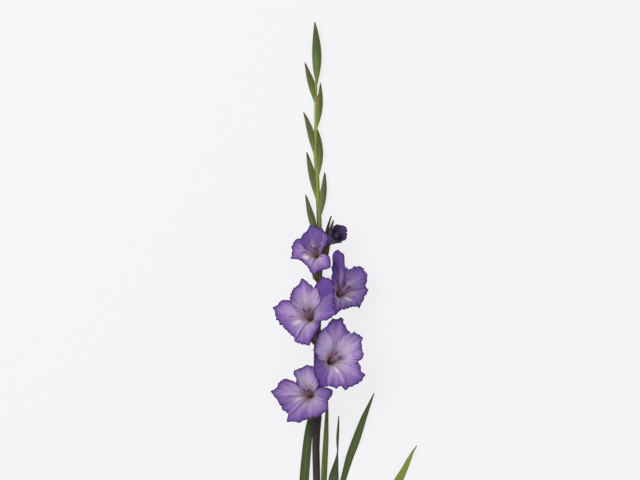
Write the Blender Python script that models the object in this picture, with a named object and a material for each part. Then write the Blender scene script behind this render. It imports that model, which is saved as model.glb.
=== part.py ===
import math
import random

import bpy
import numpy as np
from mathutils import Matrix, Vector

# A cut gladiolus stem laid on its back: the tip points to +Y, the blooms open upwards.
# Sizes below are in millimetres, and build() turns them into metres.
MM = 0.001

# Main axis: x, y of the centreline and its radius, from the cut end to the tip
AXIS = [
    (-2.0, -490, 5.7), (-1.4, -420, 5.6), (-1.0, -350, 5.5), (-0.8, -280, 5.4),
    (-0.8, -230, 5.2), (-0.7, -182, 5.0), (-1.0, -126, 5.0), (-0.4, -95, 5.1),
    (0.0, -46, 4.9), (0.2, 0, 4.7), (0.9, 30, 4.6), (2.1, 55, 4.4), (3.2, 99, 4.1),
    (4.1, 123, 3.9), (3.2, 173, 3.5), (2.4, 197, 3.3), (0.8, 220, 3.2), (-0.4, 255, 3.0),
    (-2.6, 279, 2.7), (-1.4, 315, 2.3), (-2.0, 347, 2.0), (-1.0, 378, 1.7),
]
AXIS_SIDES = 12
FLAT_TO = 60  # the underside is flat on the surface up to this y
LIFT_LENGTH = 120  # from there the centreline takes this long to reach TOP_HEIGHT
TOP_HEIGHT = 4.3  # height of the centreline among the green buds

# Green buds, two-ranked: tip, middle and base in plan, and the half width
BUDS = [
    ((-3.4, 459), (-1.4, 421), (-0.8, 374), 5.4),
    ((-16.8, 402.5), (-9.2, 378), (-2.6, 347), 4.2),
    ((4.4, 374), (3.6, 345), (-0.4, 312), 4.0),
    ((-18.6, 333), (-9.6, 308), (-3.4, 274), 4.3),
    ((0.4, 308.5), (3.6, 281), (2.2, 246), 4.4),
    ((-14.2, 277), (-7.4, 249), (-1.0, 213), 4.4),
    ((10.6, 249), (8.6, 221), (3.6, 185), 4.4),
    ((-15.6, 217.5), (-8.6, 190), (-0.6, 155), 4.6),
]
BUD_SIDES = 7
BUD_ROWS = 7
BUD_WIDTHS = [
    (0.0, 0.2), (0.12, 0.55), (0.26, 0.88), (0.42, 1.0),
    (0.58, 0.88), (0.74, 0.6), (0.88, 0.3), (1.0, 0.05),
]
BUD_DEPTH = 0.98  # size of a bud from front to back against its width
BUD_RISE = 1.2  # how far a bud's tip rises from the surface
INNER_ROWS = 4
INNER_WIDTH = 0.8  # width of a bud's inner bract against its outer one
INNER_LEAN = 1.6  # how far the inner bract shows beside the outer one
INNER_SHARE = 0.86  # length of a bud's inner bract against its outer one

# Leaves: x, y, height, width and turn of the blade in degrees, from the tip down,
# then the sheath: direction round the stem, half span, upper and lower end
LEAVES = {
    "leaf_1": dict(
        blade=[
            (-6.6, -62, 1.6, 1.2, 0), (-7.6, -80, 1.6, 5, 0), (-9.4, -98, 1.9, 8.6, 4),
            (-13.0, -126, 2.6, 12, 8), (-18.0, -182, 3.0, 13.6, 12), (-20.2, -238, 3.4, 14, 14),
            (-19.0, -300, 4.2, 14, 24), (-14.0, -345, 5.4, 13, 50), (-9.6, -372, 6.0, 12, 70),
        ],
        sheath=(162, 58, -372, -420),
    ),
    "leaf_2": dict(
        blade=[
            (14.6, -66, 6.0, 1.2, 20), (14.0, -84, 6.0, 4.4, 22), (13.2, -104, 6.0, 6.4, 25),
            (12.4, -126, 6.0, 8.4, 28), (10.8, -155, 6.2, 9.8, 34), (9.6, -182, 6.4, 10.8, 42),
            (8.6, -210, 6.8, 11.4, 58), (7.9, -226, 7.2, 11.6, 66),
        ],
        sheath=(40, 72, -232, -262),
    ),
    "leaf_3": dict(
        blade=[
            (30.4, -92, 13.0, 1.2, 10), (29.8, -106, 12.5, 3, 20), (29.0, -119, 12.0, 4.6, 36),
            (28.7, -131, 11.6, 6, 60), (28.6, -141, 11.2, 8, 74), (27.4, -154, 10.8, 10.6, 58),
            (25.0, -167, 10.4, 13, 30), (23.0, -182, 10.0, 14.6, 14), (20.6, -212, 9.8, 15, 12),
            (18.2, -240, 10.2, 15, 12), (13.4, -268, 11.4, 14, 8), (7.4, -290, 12.8, 12, 2),
        ],
        sheath=(90, 50, -296, -330),
    ),
    "leaf_4": dict(
        blade=[
            (80.0, -60, 9.0, 1.2, 10), (75.4, -71, 8.0, 3.4, 8), (70.0, -84, 7.2, 6, 8),
            (64.4, -98, 6.2, 8.6, 8), (54.6, -126, 4.8, 11.4, 10), (45.4, -151, 3.6, 11.2, 22),
            (36.6, -182, 3.0, 9.6, 34), (28.4, -212, 2.6, 9.6, 24), (21.0, -246, 2.4, 9.6, 14),
            (15.2, -284, 2.8, 10, 24), (11.2, -322, 4.0, 11, 50), (8.9, -342, 5.2, 11.4, 64),
        ],
        sheath=(4, 42, -350, -386),
    ),
    "leaf_5": dict(
        blade=[
            (139.8, -133.6, 6.0, 1.2, 6), (133.8, -143, 5.0, 3.8, 8), (128.4, -154, 4.0, 6.4, 10),
            (121.8, -168, 3.2, 9, 12), (114.4, -182, 2.6, 11.8, 12), (100.0, -210, 2.0, 13.8, 10),
            (78.0, -254, 1.7, 15.4, 8), (54.0, -304, 1.9, 16, 8), (33.0, -350, 2.6, 15.4, 14),
            (18.6, -388, 3.8, 14, 34), (11.4, -414, 4.8, 13, 58),
        ],
        sheath=(18, 56, -426, -474),
    ),
}
LEAF_THICKNESS = 0.9
LEAF_COLUMNS = 3
SHEATH_ROWS, BLADE_ROWS = 2, 14
SHEATH_GAP = 0.55  # room between a sheath and the stem
LEAVE = 1.4  # how far a blade bows out where it leaves its sheath
LEAVE_SHARE = 0.22  # share of the blade over which it opens from the sheath's round form

# Blooms. place is the floor of the throat, face and tilt give the way it opens,
# side is where its tube leaves the axis, and hood is the tepal that the stamens curve under.
# The tepals are the outer ones (upper, lower right, lower left), then the inner ones
# (upper right, upper left, lip). more opens a tepal further than its kind, in degrees.
# rims are their outlines in plan, each with the number of the point at its middle line.
BLOOMS = {
    "bloom_1": dict(
        place=(-0.3, 129.5, 27), face=140, tilt=25, base=101, side=118, size=0.80,
        hood=4, more=(0, 0, 0, -12, -10, 0),
        rims=[
            (4, [(14.3, 157.9), (13.8, 160.8), (11.7, 164.6), (7.9, 169.1), (4.7, 171.9), (2, 171.9),
                (-0.1, 169.7), (-0.7, 160.6)]),
            (7, [(-8.7, 120.4), (-11.6, 114.5), (-10.2, 110.2), (-6.6, 107), (-3.1, 104.2),
                (0.4, 108.6), (4.7, 110.7), (10.6, 113.4), (17, 114.4), (18.4, 118), (19.1, 124.1),
                (17.8, 131.1), (15.4, 133.1), (10.1, 131.6), (5.2, 129.8)]),
            (9, [(-20.5, 148.8), (-22.6, 156.3), (-26.9, 156.4), (-30.1, 153.6), (-34.1, 149.4),
                (-31.7, 147.2), (-36, 144.9), (-34, 142.4), (-34.1, 137.5), (-35.5, 131.1),
                (-37.9, 128.3), (-30.1, 126.7), (-25.8, 126.3), (-20.5, 130.6)]),
            (5, [(4.7, 133.8), (7.9, 140.7), (12.2, 146.1), (14.9, 152), (16.4, 156.8), (14.3, 160.6),
                (10.6, 163.2), (6.6, 163.5), (6, 155.2), (5.2, 144.5)]),
            (6, [(4.2, 144.5), (6, 155.2), (5.5, 163.2), (3.6, 168.1), (-0.7, 172.4), (-5.5, 174.5),
                (-9.8, 173.4), (-11.4, 171.3), (-14.1, 166.2), (-19.9, 162.2), (-22.4, 156.6),
                (-22.1, 149.9), (-18.3, 141.3)]),
            (5, [(-16.2, 139.1), (-22.6, 136.5), (-26.4, 132.2), (-28.5, 128.4), (-25.6, 126.2),
                (-20.5, 123.1), (-14.1, 118.2), (-11.6, 114.5), (-6.6, 120.4), (-2.3, 125.7)]),
        ],
    ),
    "bloom_2": dict(
        place=(31.5, 78.4, 23), face=45, tilt=32, base=57, side=38, size=0.95,
        hood=3, more=(0, 0, 0, -4, -8, 0),
        raised=(0, 0, 0, 0, 1.5, 0),
        rims=[
            (5, [(53.8, 108.5), (48.6, 114.6), (44.8, 113.5), (40.3, 114.8), (31.9, 116.2),
                (25.5, 112.4), (21.6, 107.2), (20.2, 102.1), (19.7, 100.2), (21.6, 93.7), (25.5, 86.7)]),
            (3, [(53.8, 65.4), (58.6, 58), (61.8, 64.2), (65.3, 71.2), (69.2, 78.9), (72.3, 84.1),
                (68.4, 89.2), (65.3, 91.8)]),
            (4, [(28.7, 88.6), (22.2, 84.1), (20.3, 77.7), (21, 68), (23.2, 62.9), (22.2, 55.2),
                (25.1, 48.3), (28, 51.2), (31.9, 55.8), (34.8, 56.6), (36.4, 64.8)]),
            (6, [(61.5, 84.1), (67.9, 90.5), (68.7, 93.7), (71.2, 98.2), (69.3, 103.4), (69.5, 107.9),
                (66.1, 113), (64, 116.4), (61.5, 117.7), (57, 117.4), (52.5, 117.5), (48.6, 115),
                (44.8, 113.5), (40.3, 115), (37, 107.2), (36.4, 95.7)]),
            (8, [(37, 89.2), (38.3, 99.5), (39.6, 108.5), (40.3, 115), (38.6, 120.7), (38, 127.2),
                (38.5, 133), (34.5, 136.8), (30.3, 140), (26.9, 137.6), (23.5, 136.8), (21.6, 132.3),
                (22.2, 122.7), (20.3, 115), (22.2, 107.2), (26.7, 99.5), (30.6, 90.5)]),
            (4, [(31.9, 68), (33.2, 56.4), (38.3, 57.1), (43.5, 59.3), (48.6, 60.3), (54.4, 60.3),
                (57.6, 59.7), (56.3, 66.1), (52.5, 75.7)]),
        ],
    ),
    "bloom_3": dict(
        place=(-9, 42.7, 35), face=133, tilt=20, base=15, side=138, size=1.0,
        hood=4, more=(0, 0, 0, 0, -8, 0),
        rims=[
            (6, [(22.2, 72.1), (23.6, 78.5), (24, 84.9), (23.6, 91.3), (21.5, 97.4), (20, 99.9),
                (16.5, 100.8), (13.6, 101.9), (7.9, 102.2), (4.5, 101.5), (3.7, 96), (-1, 92.8),
                (-3.5, 88.8), (-7.1, 80.6)]),
            (6, [(-29.3, 22.8), (-31.4, 17.1), (-32.1, 13.8), (-28.5, 10.5), (-24.3, 9.8), (-20, 9.1),
                (-15, 7.6), (-11.3, 5.9), (-9.3, 10.6), (-7.1, 14.9), (-2.8, 23.1), (0.7, 29.2),
                (3.6, 32.4), (2.9, 37.8)]),
            (7, [(-28.5, 63.5), (-37.8, 70.6), (-42.8, 70.4), (-48.5, 70.3), (-52.5, 67.8),
                (-55.3, 63.8), (-58.5, 61.5), (-62.7, 61), (-60, 57.4), (-58.5, 52.1), (-57.1, 46.3),
                (-58.2, 42.2), (-53.9, 42.8), (-52.5, 39.2), (-53, 35.3), (-48.5, 34.9), (-41.4, 40.6)]),
            (7, [(-1.4, 37.1), (4.3, 40.3), (8.2, 42.1), (14.3, 41.9), (17.5, 44.9), (22.2, 47.2),
                (25.5, 48.7), (28, 53.5), (24.7, 57.1), (22.9, 63.5), (23.6, 69.2), (23.6, 77.8),
                (17.9, 79.9), (10, 74.2), (4.3, 66.3)]),
            (9, [(0, 59.9), (4, 66.3), (4.3, 73.5), (2.9, 80.6), (0, 85.6), (-5, 88.5), (-10, 92.8),
                (-14.3, 96.3), (-16.8, 99.2), (-20.3, 101.2), (-22.5, 99.2), (-22.8, 96.7),
                (-25.7, 92.8), (-30.7, 87.8), (-35, 84.2), (-36, 79.9), (-38.2, 73.5), (-36.4, 67.8),
                (-32.8, 60.6), (-28.5, 54.2)]),
            (5, [(-37.1, 48.5), (-42.8, 45.6), (-46.4, 40.3), (-46.8, 33.5), (-45, 29.2),
                (-41.4, 27.1), (-37.8, 22.8), (-32.8, 19.1), (-31, 16.3), (-25.7, 21.3), (-19.3, 31.3)]),
        ],
    ),
    "bloom_4": dict(
        place=(16.8, -15.4, 33), face=40, tilt=22, base=-40, side=40, size=1.0,
        hood=3, more=(0, 0, 0, -8, 0, 0),
        rims=[
            (6, [(50.9, 18.1), (46.8, 23.5), (42.4, 29.8), (38.4, 36), (36.1, 41.1), (37.5, 44.6),
                (35.1, 46), (28.5, 44), (21.9, 44.3), (16.8, 39.7), (13.9, 34.9), (10.2, 31.2),
                (8.8, 23.9)]),
            (5, [(32.9, -47.1), (35.9, -51.9), (38.8, -56), (43.2, -52.2), (50.5, -49.3),
                (59.3, -44.2), (64.8, -41.4), (65.1, -37.6), (66.8, -33.2), (61.1, -29.9),
                (61.8, -25.9), (60, -20), (56.7, -14.9), (52, -12.7)]),
            (6, [(4.7, -3.9), (-0.8, -9), (-3.3, -14.2), (-5.1, -20), (-4.4, -29.5), (-1.5, -36.5),
                (2.2, -41.3), (3.8, -48.2), (5.8, -51.4), (9.9, -50.8), (13.9, -49.9), (17.5, -47.8),
                (21.6, -39.8)]),
            (6, [(46.8, -20.8), (57.8, -14.9), (64, -11.2), (65, -5.4), (62.8, 3.4), (61.8, 12.2),
                (64.6, 19.2), (59.3, 21.3), (54.9, 24.3), (52.3, 27.4), (50.1, 24.6), (46.8, 23.5),
                (35.9, 20.3), (28.5, 15.1)]),
            (7, [(23.4, 11.5), (17.5, 21.7), (12.4, 26.1), (9.9, 31.2), (4.7, 28.3), (0.3, 21),
                (-3.3, 10), (-3.3, 4.9), (-5.7, 1.1), (-3.3, -1.7), (-1.5, -5.4), (4.4, -12)]),
            (5, [(13.9, -37.6), (14.6, -46.4), (16.8, -49.3), (21.2, -50.4), (25.6, -51.9),
                (27.8, -52.8), (30.4, -49.3), (35.1, -49.9), (38.1, -47.8), (39.2, -41.3), (37.7, -33.9)]),
        ],
    ),
    "bloom_5": dict(
        place=(-9.4, -64.4, 24), face=160, tilt=15, base=-86, side=140, size=1.0,
        hood=4, more=(12, 0, 0, 4, 0, 0),
        rims=[
            (3, [(11, -72.6), (16.4, -69.3), (19.6, -64.1), (21.9, -57.4), (20.4, -54.1),
                (16.3, -52.3), (11, -51.4), (5.1, -50.8), (-0.2, -54.1)]),
            (4, [(-37.2, -82.6), (-40.5, -89.2), (-41.7, -95.8), (-42.4, -99.4), (-34.6, -99.1),
                (-28, -100.1), (-22.5, -100.9), (-20, -97.9), (-14.7, -96.4), (-10.8, -94.6),
                (-6.1, -92.5), (-2.8, -87.2)]),
            (12, [(-24, -50.8), (-30.3, -44.2), (-34.6, -42.3), (-37.2, -41.6), (-41.2, -39.6),
                (-45.1, -39.6), (-47.8, -40.9), (-51.1, -42.3), (-52.5, -44.2), (-55, -48.2),
                (-55.7, -51.6), (-59.7, -54.8), (-65.5, -56.8), (-61, -61.4), (-56.4, -68),
                (-53.1, -74), (-49.6, -78.6), (-42.5, -74.6)]),
            (5, [(-14.7, -87.2), (-10.8, -94.6), (-4.8, -92.6), (1.8, -92.6), (6.4, -89.3),
                (11, -85.9), (14.3, -83.9), (16.2, -79.9), (15.3, -74.6), (15.1, -70.7), (10.4, -66.7),
                (3.8, -64.1)]),
            (6, [(0.5, -53.5), (3.8, -46.9), (1.8, -38.9), (-1.5, -30.4), (-4.2, -23.1), (-8.1, -21),
                (-13.4, -20), (-16.1, -21.1), (-21.3, -23.8), (-26.6, -25.7), (-31.3, -27.6),
                (-33.4, -31.5), (-31.9, -34.3), (-29.1, -37.6), (-28.6, -41.6), (-29.3, -45.6),
                (-25.3, -52.2), (-21.3, -56.1)]),
            (5, [(-37.2, -62.7), (-45.8, -68), (-49.6, -74.6), (-49.9, -78.6), (-49, -82),
                (-46.5, -84.7), (-43.7, -85.1), (-40.4, -88.6), (-35.9, -88.5), (-29.3, -82.6),
                (-22.7, -75.9)]),
        ],
    ),
}
# Six tepals in the same order: opening at the tip in degrees, layer, and the direction where
# they stand evenly
TEPAL_KINDS = [
    dict(open=76, layer=0, evenly=90),
    dict(open=92, layer=0, evenly=-30),
    dict(open=92, layer=0, evenly=210),
    dict(open=84, layer=1, evenly=30),
    dict(open=84, layer=1, evenly=150),
    dict(open=90, layer=1, evenly=270),
]
FOOT_SHARE = 0.6  # share of the way to its neighbours that a tepal covers at its foot
FOOT_MOST = math.radians(65)
THROAT_OPEN = 18  # opening of the funnel at its bottom, in degrees from its axis
OPEN_CURVE = 1.25  # above 1 a tepal bends outwards mostly near its tip
BEND_STEPS = 24  # steps in which that bend is added up
FUNNEL_FLOOR = 5.2  # radius of the funnel where the tepals are sunk in the tube
SUNK = 2.5  # how deep their feet stand in it
TEPAL_THICKNESS = 0.8
LAYER_GAP = 1.3  # step between the outer and the inner tepals at their feet
LAYER_RISE = 0.5  # how much of a further step each layer gains towards its tips
FLARE = 1.0  # how far a tepal's sides curl away from the other layer
CREASE = 0.5  # depth of the fold along a tepal's middle
# Folds: number round the bloom, height, and shift towards the tips
FOLDS = [(5, 0.9, 1.0), (8, 0.8, -1.5)]
TEPAL_ROWS = 5
RIM_POINTS = 9  # points of each rim that the solid keeps
# A rim is carried from the plan on to its funnel in these steps: their number, the share of
# the length they start from, how much of each step is taken, the most it may turn and
# lengthen, the range that the share keeps to, and the reach of the test for the slope
SOLVER = dict(steps=40, start=0.7, gain=0.7, most_turn=0.2, most_share=0.1, low=0.1, high=1.6, probe=0.01)

# Flower tubes: radius from the foot to the throat, and the lean of their first stretch
TUBE_ROWS, TUBE_SIDES = 8, 8
TUBE_RADII = [(0.0, 2.9), (0.16, 3.0), (0.36, 2.4), (0.6, 2.7), (0.8, 3.7), (0.93, 5.6), (1.0, 6.7)]
TUBE_LEAN = 0.35
TUBE_LEAVES, TUBE_ARRIVES = 15, 14  # reach of the bends at its two ends

# Bracts, a pair round the foot of each tube
BRACT_ROWS, BRACT_COLUMNS = 5, 4
BRACT_RADIUS = 3.7  # inside, round the tube
BRACT_THICKNESS = 0.8
# Outer and inner bract: length at size 1, drift to the side on its way up, bend of its tip
BRACTS = [(58, 0.14, 0.0), (50, 0.08, 0.0)]
BUD_BRACTS = [(70, 0.20, 0.0), (79, 0.15, 3.0)]
BRACT_FOOT = 0.18  # share of a bract's length that rises out of the axis
BRACT_SINK = 5  # depth of its foot in the axis
BRACT_TURN = 117  # each bract's middle stands this many degrees from where the tube leaves
BRACT_WIDEST = (108, 104)  # half span of the outer and the inner bract at the foot
BRACT_SPAN = 65  # and further up
BRACT_STEP = 0.4  # the outer bract lies this much further out
BRACT_BELLY, BRACT_TAPER = 1.6, 1.2  # how far it bulges in the middle and closes at the tip

# Half-open bud on the right: its tepals stand close round a rolled core
BUD_BLOOM = dict(
    place=(20.5, 154, 24), face=42, tilt=38, base=123, side=30,
    opening=15, lengths=(29, 28, 27, 28, 27, 26),
)
BUD_TEPAL_ROWS, BUD_TEPAL_COLUMNS = 5, 4
BUD_FOOT, BUD_SPAN = math.radians(36), math.radians(44)  # half width of a tepal at its ends
BUD_SHOULDER, BUD_ROUNDNESS = 0.24, 2.4  # how much shorter its corners are, and how round
CORE_RADII = [3.0, 4.4, 5.4, 5.2, 4.0, 1.6]
CORE_HEIGHT = 21
CORE_SIDES = 9

# Stamens and style at size 1: distance towards the upper tepal, spread and height
FILAMENT = [(0.3, 0.6, 1.2), (1.4, 1.4, 8), (3.4, 2.6, 14), (5.2, 3.6, 18)]
ANTHER = [(4.4, 3.4, 16), (6.0, 4.2, 20.5), (7.8, 4.6, 25)]
STYLE = [(0, 0, 1.2), (0.6, 0.1, 10), (2.8, 0.2, 18.5), (6.0, 0.3, 25.5)]
STIGMA = [(5.7, 0.3, 25), (7.2, 1.9, 27), (9.2, 3.7, 28.6)]
FILAMENT_RADII = [0.9, 0.7, 0.6, 0.5]
ANTHER_RADII = [0.6, 1.3, 1.3, 0.5]
STYLE_RADII = [0.9, 0.7, 0.6, 0.6, 0.7]
STIGMA_RADII = [0.6, 0.8]

COLOURS = {
    "stem_green": ((0.10, 0.13, 0.05), 0.5),
    "leaf_green": ((0.09, 0.15, 0.04), 0.45),
    "petal_violet": ((0.24, 0.12, 0.42), 0.6),
    "bud_violet": ((0.06, 0.03, 0.12), 0.6),
    "anther_violet": ((0.07, 0.04, 0.13), 0.6),
}


def spline(points, share):
    # A smooth curve through evenly spaced keys, read at a share from 0 to 1.
    keys = np.array(points, float)
    last = len(keys) - 1
    place = min(max(share, 0.0), 1.0) * last
    i = min(int(place), last - 1)
    t = place - i
    a, b, c, d = (keys[min(max(k, 0), last)] for k in (i - 1, i, i + 1, i + 2))
    square, cube = 2 * a - 5 * b + 4 * c - d, 3 * b - a - 3 * c + d
    return 0.5 * (2 * b + (c - a) * t + square * t**2 + cube * t**3)


def bezier(start, first, second, end, rows):
    # Points along a curve that leaves start towards first and arrives at end from second.
    line = []
    for t in (k / rows for k in range(rows + 1)):
        s = 1 - t
        line.append(start * s**3 + first * (3 * t * s * s) + second * (3 * t * t * s) + end * t**3)
    return line


def along(table, share):
    return float(np.interp(share, [row[0] for row in table], [row[1] for row in table]))


def smooth_step(value):
    value = min(max(value, 0.0), 1.0)
    return value * value * (3 - 2 * value)


def new_object(name, points, faces):
    mesh = bpy.data.meshes.new(name)
    mesh.from_pydata([tuple(c * MM for c in point) for point in points], [], faces)
    mesh.validate()
    mesh.shade_smooth()
    made = bpy.data.objects.new(name, mesh)
    bpy.context.scene.collection.objects.link(made)
    return made


def loft(name, rings):
    # A closed body through rings of equal count, with a flat cap at each end.
    count = len(rings[0])
    points = [point for ring in rings for point in ring]
    faces = [tuple(range(count))[::-1]]
    for row in range(len(rings) - 1):
        for k in range(count):
            a, b = row * count + k, row * count + (k + 1) % count
            faces.append((a, b, b + count, a + count))
    faces.append(tuple(range((len(rings) - 1) * count, len(rings) * count)))
    return turned_out(new_object(name, points, faces))


def turned_out(made):
    # Turns the faces round where the body came out inside out.
    volume = 0.0
    corners = made.data.vertices
    made.data.calc_loop_triangles()
    for triangle in made.data.loop_triangles:
        a, b, c = (corners[k].co for k in triangle.vertices)
        volume += a.dot(b.cross(c))
    if volume < 0:
        made.data.flip_normals()
    return made


def sheet(name, points_at, rows, across_at, thickness):
    # A thin closed sheet over points_at(along, across), split into triangles alike on both faces.
    u, v = (grid.ravel() for grid in np.meshgrid(np.linspace(0, 1, rows + 1), across_at, indexing="ij"))
    columns = len(across_at) - 1
    step = 1e-3
    centres = points_at(u, v)
    ahead = points_at(np.minimum(u + step, 1), v) - points_at(np.maximum(u - step, 0), v)
    across = points_at(u, np.minimum(v + step, 1)) - points_at(u, np.maximum(v - step, -1))
    normals = np.cross(ahead, across)
    normals *= thickness / 2 / np.linalg.norm(normals, axis=1, keepdims=True)
    count, width = len(centres), columns + 1
    faces = []
    for i in range(rows):
        for j in range(columns):
            a, b = i * width + j, i * width + j + 1
            c, d = b + width, a + width
            split = [(a, b, c), (a, c, d)] if (i + j) % 2 else [(a, b, d), (b, c, d)]
            for triangle in split:
                faces.append(triangle)
                faces.append(tuple(count + k for k in reversed(triangle)))
    rim = list(range(columns))
    rim += [columns + width * i for i in range(rows)]
    rim += [rows * width + columns - k for k in range(columns)]
    rim += [width * (rows - i) for i in range(rows)]
    for here, following in zip(rim, rim[1:] + rim[:1]):
        faces.append((following, here, count + here))
        faces.append((following, count + here, count + following))
    return turned_out(new_object(name, np.concatenate([centres + normals, centres - normals]), faces))


def each(point_at):
    # Lets a function of one point work on arrays.
    return lambda u, v: np.array([tuple(point_at(float(a), float(b))) for a, b in zip(u, v)])


def evenly(columns):
    return np.linspace(-1, 1, columns + 1)


def tube(name, centres, radii, sides, end_ahead=None):
    # A round body along a curve, with its rings square to it.
    rings = []
    side = Vector((1, 0, 0))
    for k, centre in enumerate(centres):
        before, after = centres[max(k - 1, 0)], centres[min(k + 1, len(centres) - 1)]
        ahead = (after - before).normalized()
        if end_ahead is not None and k == len(centres) - 1:
            ahead = end_ahead
        side = (side - ahead * side.dot(ahead)).normalized()
        other = ahead.cross(side)
        rings.append([
            centre + radii[k] * (math.cos(a) * side + math.sin(a) * other)
            for a in (2 * math.pi * s / sides for s in range(sides))
        ])
    return loft(name, rings)


def fuse(name, pieces, colour):
    # Joins the pieces into one closed body and gives it its name and material.
    target, others = pieces[0], pieces[1:]
    if others:
        group = bpy.data.collections.new("to_join")
        for piece in others:
            group.objects.link(piece)
        join = target.modifiers.new("join", "BOOLEAN")
        join.operation = "UNION"
        join.solver = "MANIFOLD"
        join.operand_type = "COLLECTION"
        join.collection = group
        graph = bpy.context.evaluated_depsgraph_get()
        joined = bpy.data.meshes.new_from_object(target.evaluated_get(graph))
        target.modifiers.clear()
        target.data = joined
        for piece in others:
            bpy.data.objects.remove(piece)
        bpy.data.collections.remove(group)
    target.name = name
    target.data.name = name
    target.data.materials.clear()
    target.data.materials.append(colour)
    target.data.shade_smooth()
    return target


def material(name):
    shade, roughness = COLOURS[name]
    made = bpy.data.materials.new(name)
    made.use_nodes = True
    shader = made.node_tree.nodes["Principled BSDF"]
    shader.inputs["Base Color"].default_value = (*shade, 1)
    shader.inputs["Roughness"].default_value = roughness
    shader.inputs["Metallic"].default_value = 0.0
    made.diffuse_color = (*shade, 1)
    return made


def axis_at(y):
    # Centre and radius of the main axis at this y. Below FLAT_TO its underside is at height 0.
    rows = sorted(AXIS, key=lambda row: row[1])
    ys = [row[1] for row in rows]
    x = float(np.interp(y, ys, [row[0] for row in rows]))
    radius = float(np.interp(y, ys, [row[2] for row in rows]))
    resting = radius * math.cos(math.pi / AXIS_SIDES)
    lifted = smooth_step((y - FLAT_TO) / LIFT_LENGTH)
    return Vector((x, y, resting + (TOP_HEIGHT - resting) * lifted)), radius


def axis_body():
    rings = []
    for _, y, _ in AXIS:
        centre, radius = axis_at(y)
        rings.append([
            centre + Vector((radius * math.cos(a), 0, radius * math.sin(a)))
            for a in (math.pi / AXIS_SIDES * (2 * k + 1) for k in range(AXIS_SIDES))
        ])
    return loft("axis", rings)


def bud_body(tip, middle, base, half, length_share, lean, rows):
    # A pod along a bent line from its base to its pointed tip, flattened from front to back.
    rings = []
    bend = [2 * middle[i] - (base[i] + tip[i]) / 2 for i in (0, 1)]
    for k in range(rows + 1):
        t = k / rows
        s = t * length_share
        x, y = ((1 - s) ** 2 * base[i] + 2 * s * (1 - s) * bend[i] + s**2 * tip[i] for i in (0, 1))
        width = half * along(BUD_WIDTHS, t)
        depth = BUD_DEPTH * half * along(BUD_WIDTHS, t) ** 0.8
        height = BUD_DEPTH * half + 0.02 + BUD_RISE * t * t
        rings.append([
            Vector((x + lean * math.sin(math.pi * t) + width * math.cos(a), y, height + depth * math.sin(a)))
            for a in (2 * math.pi * (n + 0.5) / BUD_SIDES for n in range(BUD_SIDES))
        ])
    return loft("bud", rings)


def leaf_body(name, leaf, colour):
    keys = leaf["blade"][::-1]
    facing, span, top, low = leaf["sheath"]
    sheath_share = SHEATH_ROWS / (SHEATH_ROWS + BLADE_ROWS)

    def sheath_point(y, v):
        centre, radius = axis_at(y)
        a = math.radians(facing + span * v)
        reach = radius + SHEATH_GAP + LEAF_THICKNESS / 2
        return centre + reach * Vector((math.cos(a), 0, math.sin(a)))

    def blade_point(share, v):
        x, y, height, width, turn = spline(keys, share)
        before, after = spline(keys, share - 0.01), spline(keys, share + 0.01)
        ahead = Vector(after[:3] - before[:3]).normalized()
        level = Vector((ahead.y, -ahead.x, 0)).normalized()
        raised = level.cross(ahead)
        a = math.radians(turn)
        # On the left of the axis the outer edge is the left one, so the turn is mirrored.
        across = level * math.cos(a) + raised * math.sin(a) * (1 if facing > 90 else -1)
        return Vector((x, y, height)) + across * (-v * width / 2)

    def point_at(u, v):
        if u <= sheath_share:
            return sheath_point(low + (top - low) * u / sheath_share, v)
        share = (u - sheath_share) / (1 - sheath_share)
        free = smooth_step(share / LEAVE_SHARE)
        start = sheath_point(top, v)
        start.y = top + blade_point(share, 0).y - keys[0][1]
        away = Vector((math.cos(math.radians(facing)), 0, math.sin(math.radians(facing))))
        return start.lerp(blade_point(share, v), free) + away * (LEAVE * math.sin(math.pi * free))

    body = sheet(name, each(point_at), SHEATH_ROWS + BLADE_ROWS, evenly(LEAF_COLUMNS), LEAF_THICKNESS)
    return fuse(name, [body], colour)


def bloom_frame(bloom):
    tilt, face = math.radians(bloom["tilt"]), math.radians(bloom["face"])
    facing = Vector((math.sin(tilt) * math.cos(face), math.sin(tilt) * math.sin(face), math.cos(tilt)))
    up = Vector((0, 1, 0))
    up = (up - facing * up.dot(facing)).normalized()
    return Matrix((up.cross(facing), up, facing)).transposed()


def opened(share, opening):
    # Distance out and up along a tepal's middle line for a length of 1, and its angle there.
    steps = (np.arange(BEND_STEPS) + 0.5) / BEND_STEPS
    grid = share[:, None] * steps[None, :]
    spread = (opening - THROAT_OPEN)[:, None]
    angles = np.radians(THROAT_OPEN + spread * grid**OPEN_CURVE)
    ends = np.radians(THROAT_OPEN + (opening - THROAT_OPEN) * share**OPEN_CURVE)
    return share * np.sin(angles).mean(axis=1), share * np.cos(angles).mean(axis=1), ends


def aim(bloom, frame, opening, tip):
    # Direction and length of the tepal whose tip lies over this point of the plan.
    flat = np.array([[frame[0][0], frame[0][1]], [frame[1][0], frame[1][1]]])
    lift = np.array([frame[0][2], frame[1][2]])
    out, up, _ = (float(part[0]) for part in opened(np.array([1.0]), np.array([float(opening)])))
    inverse = np.linalg.inv(flat)
    start = np.array(tip) - np.array(bloom["place"][:2]) + lift * SUNK
    a, b = inverse @ start, inverse @ (lift * up)
    qa = b @ b - out**2
    qb = -2 * (a @ b + FUNNEL_FLOOR * out)
    qc = a @ a - FUNNEL_FLOOR**2
    root = max(qb * qb - 4 * qa * qc, 0.0)
    ends = [r for r in ((-qb + s * math.sqrt(root)) / (2 * qa) for s in (1, -1)) if r > 0]
    length = min(ends)
    toward = a - length * b
    return math.atan2(toward[1], toward[0]), length


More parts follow.
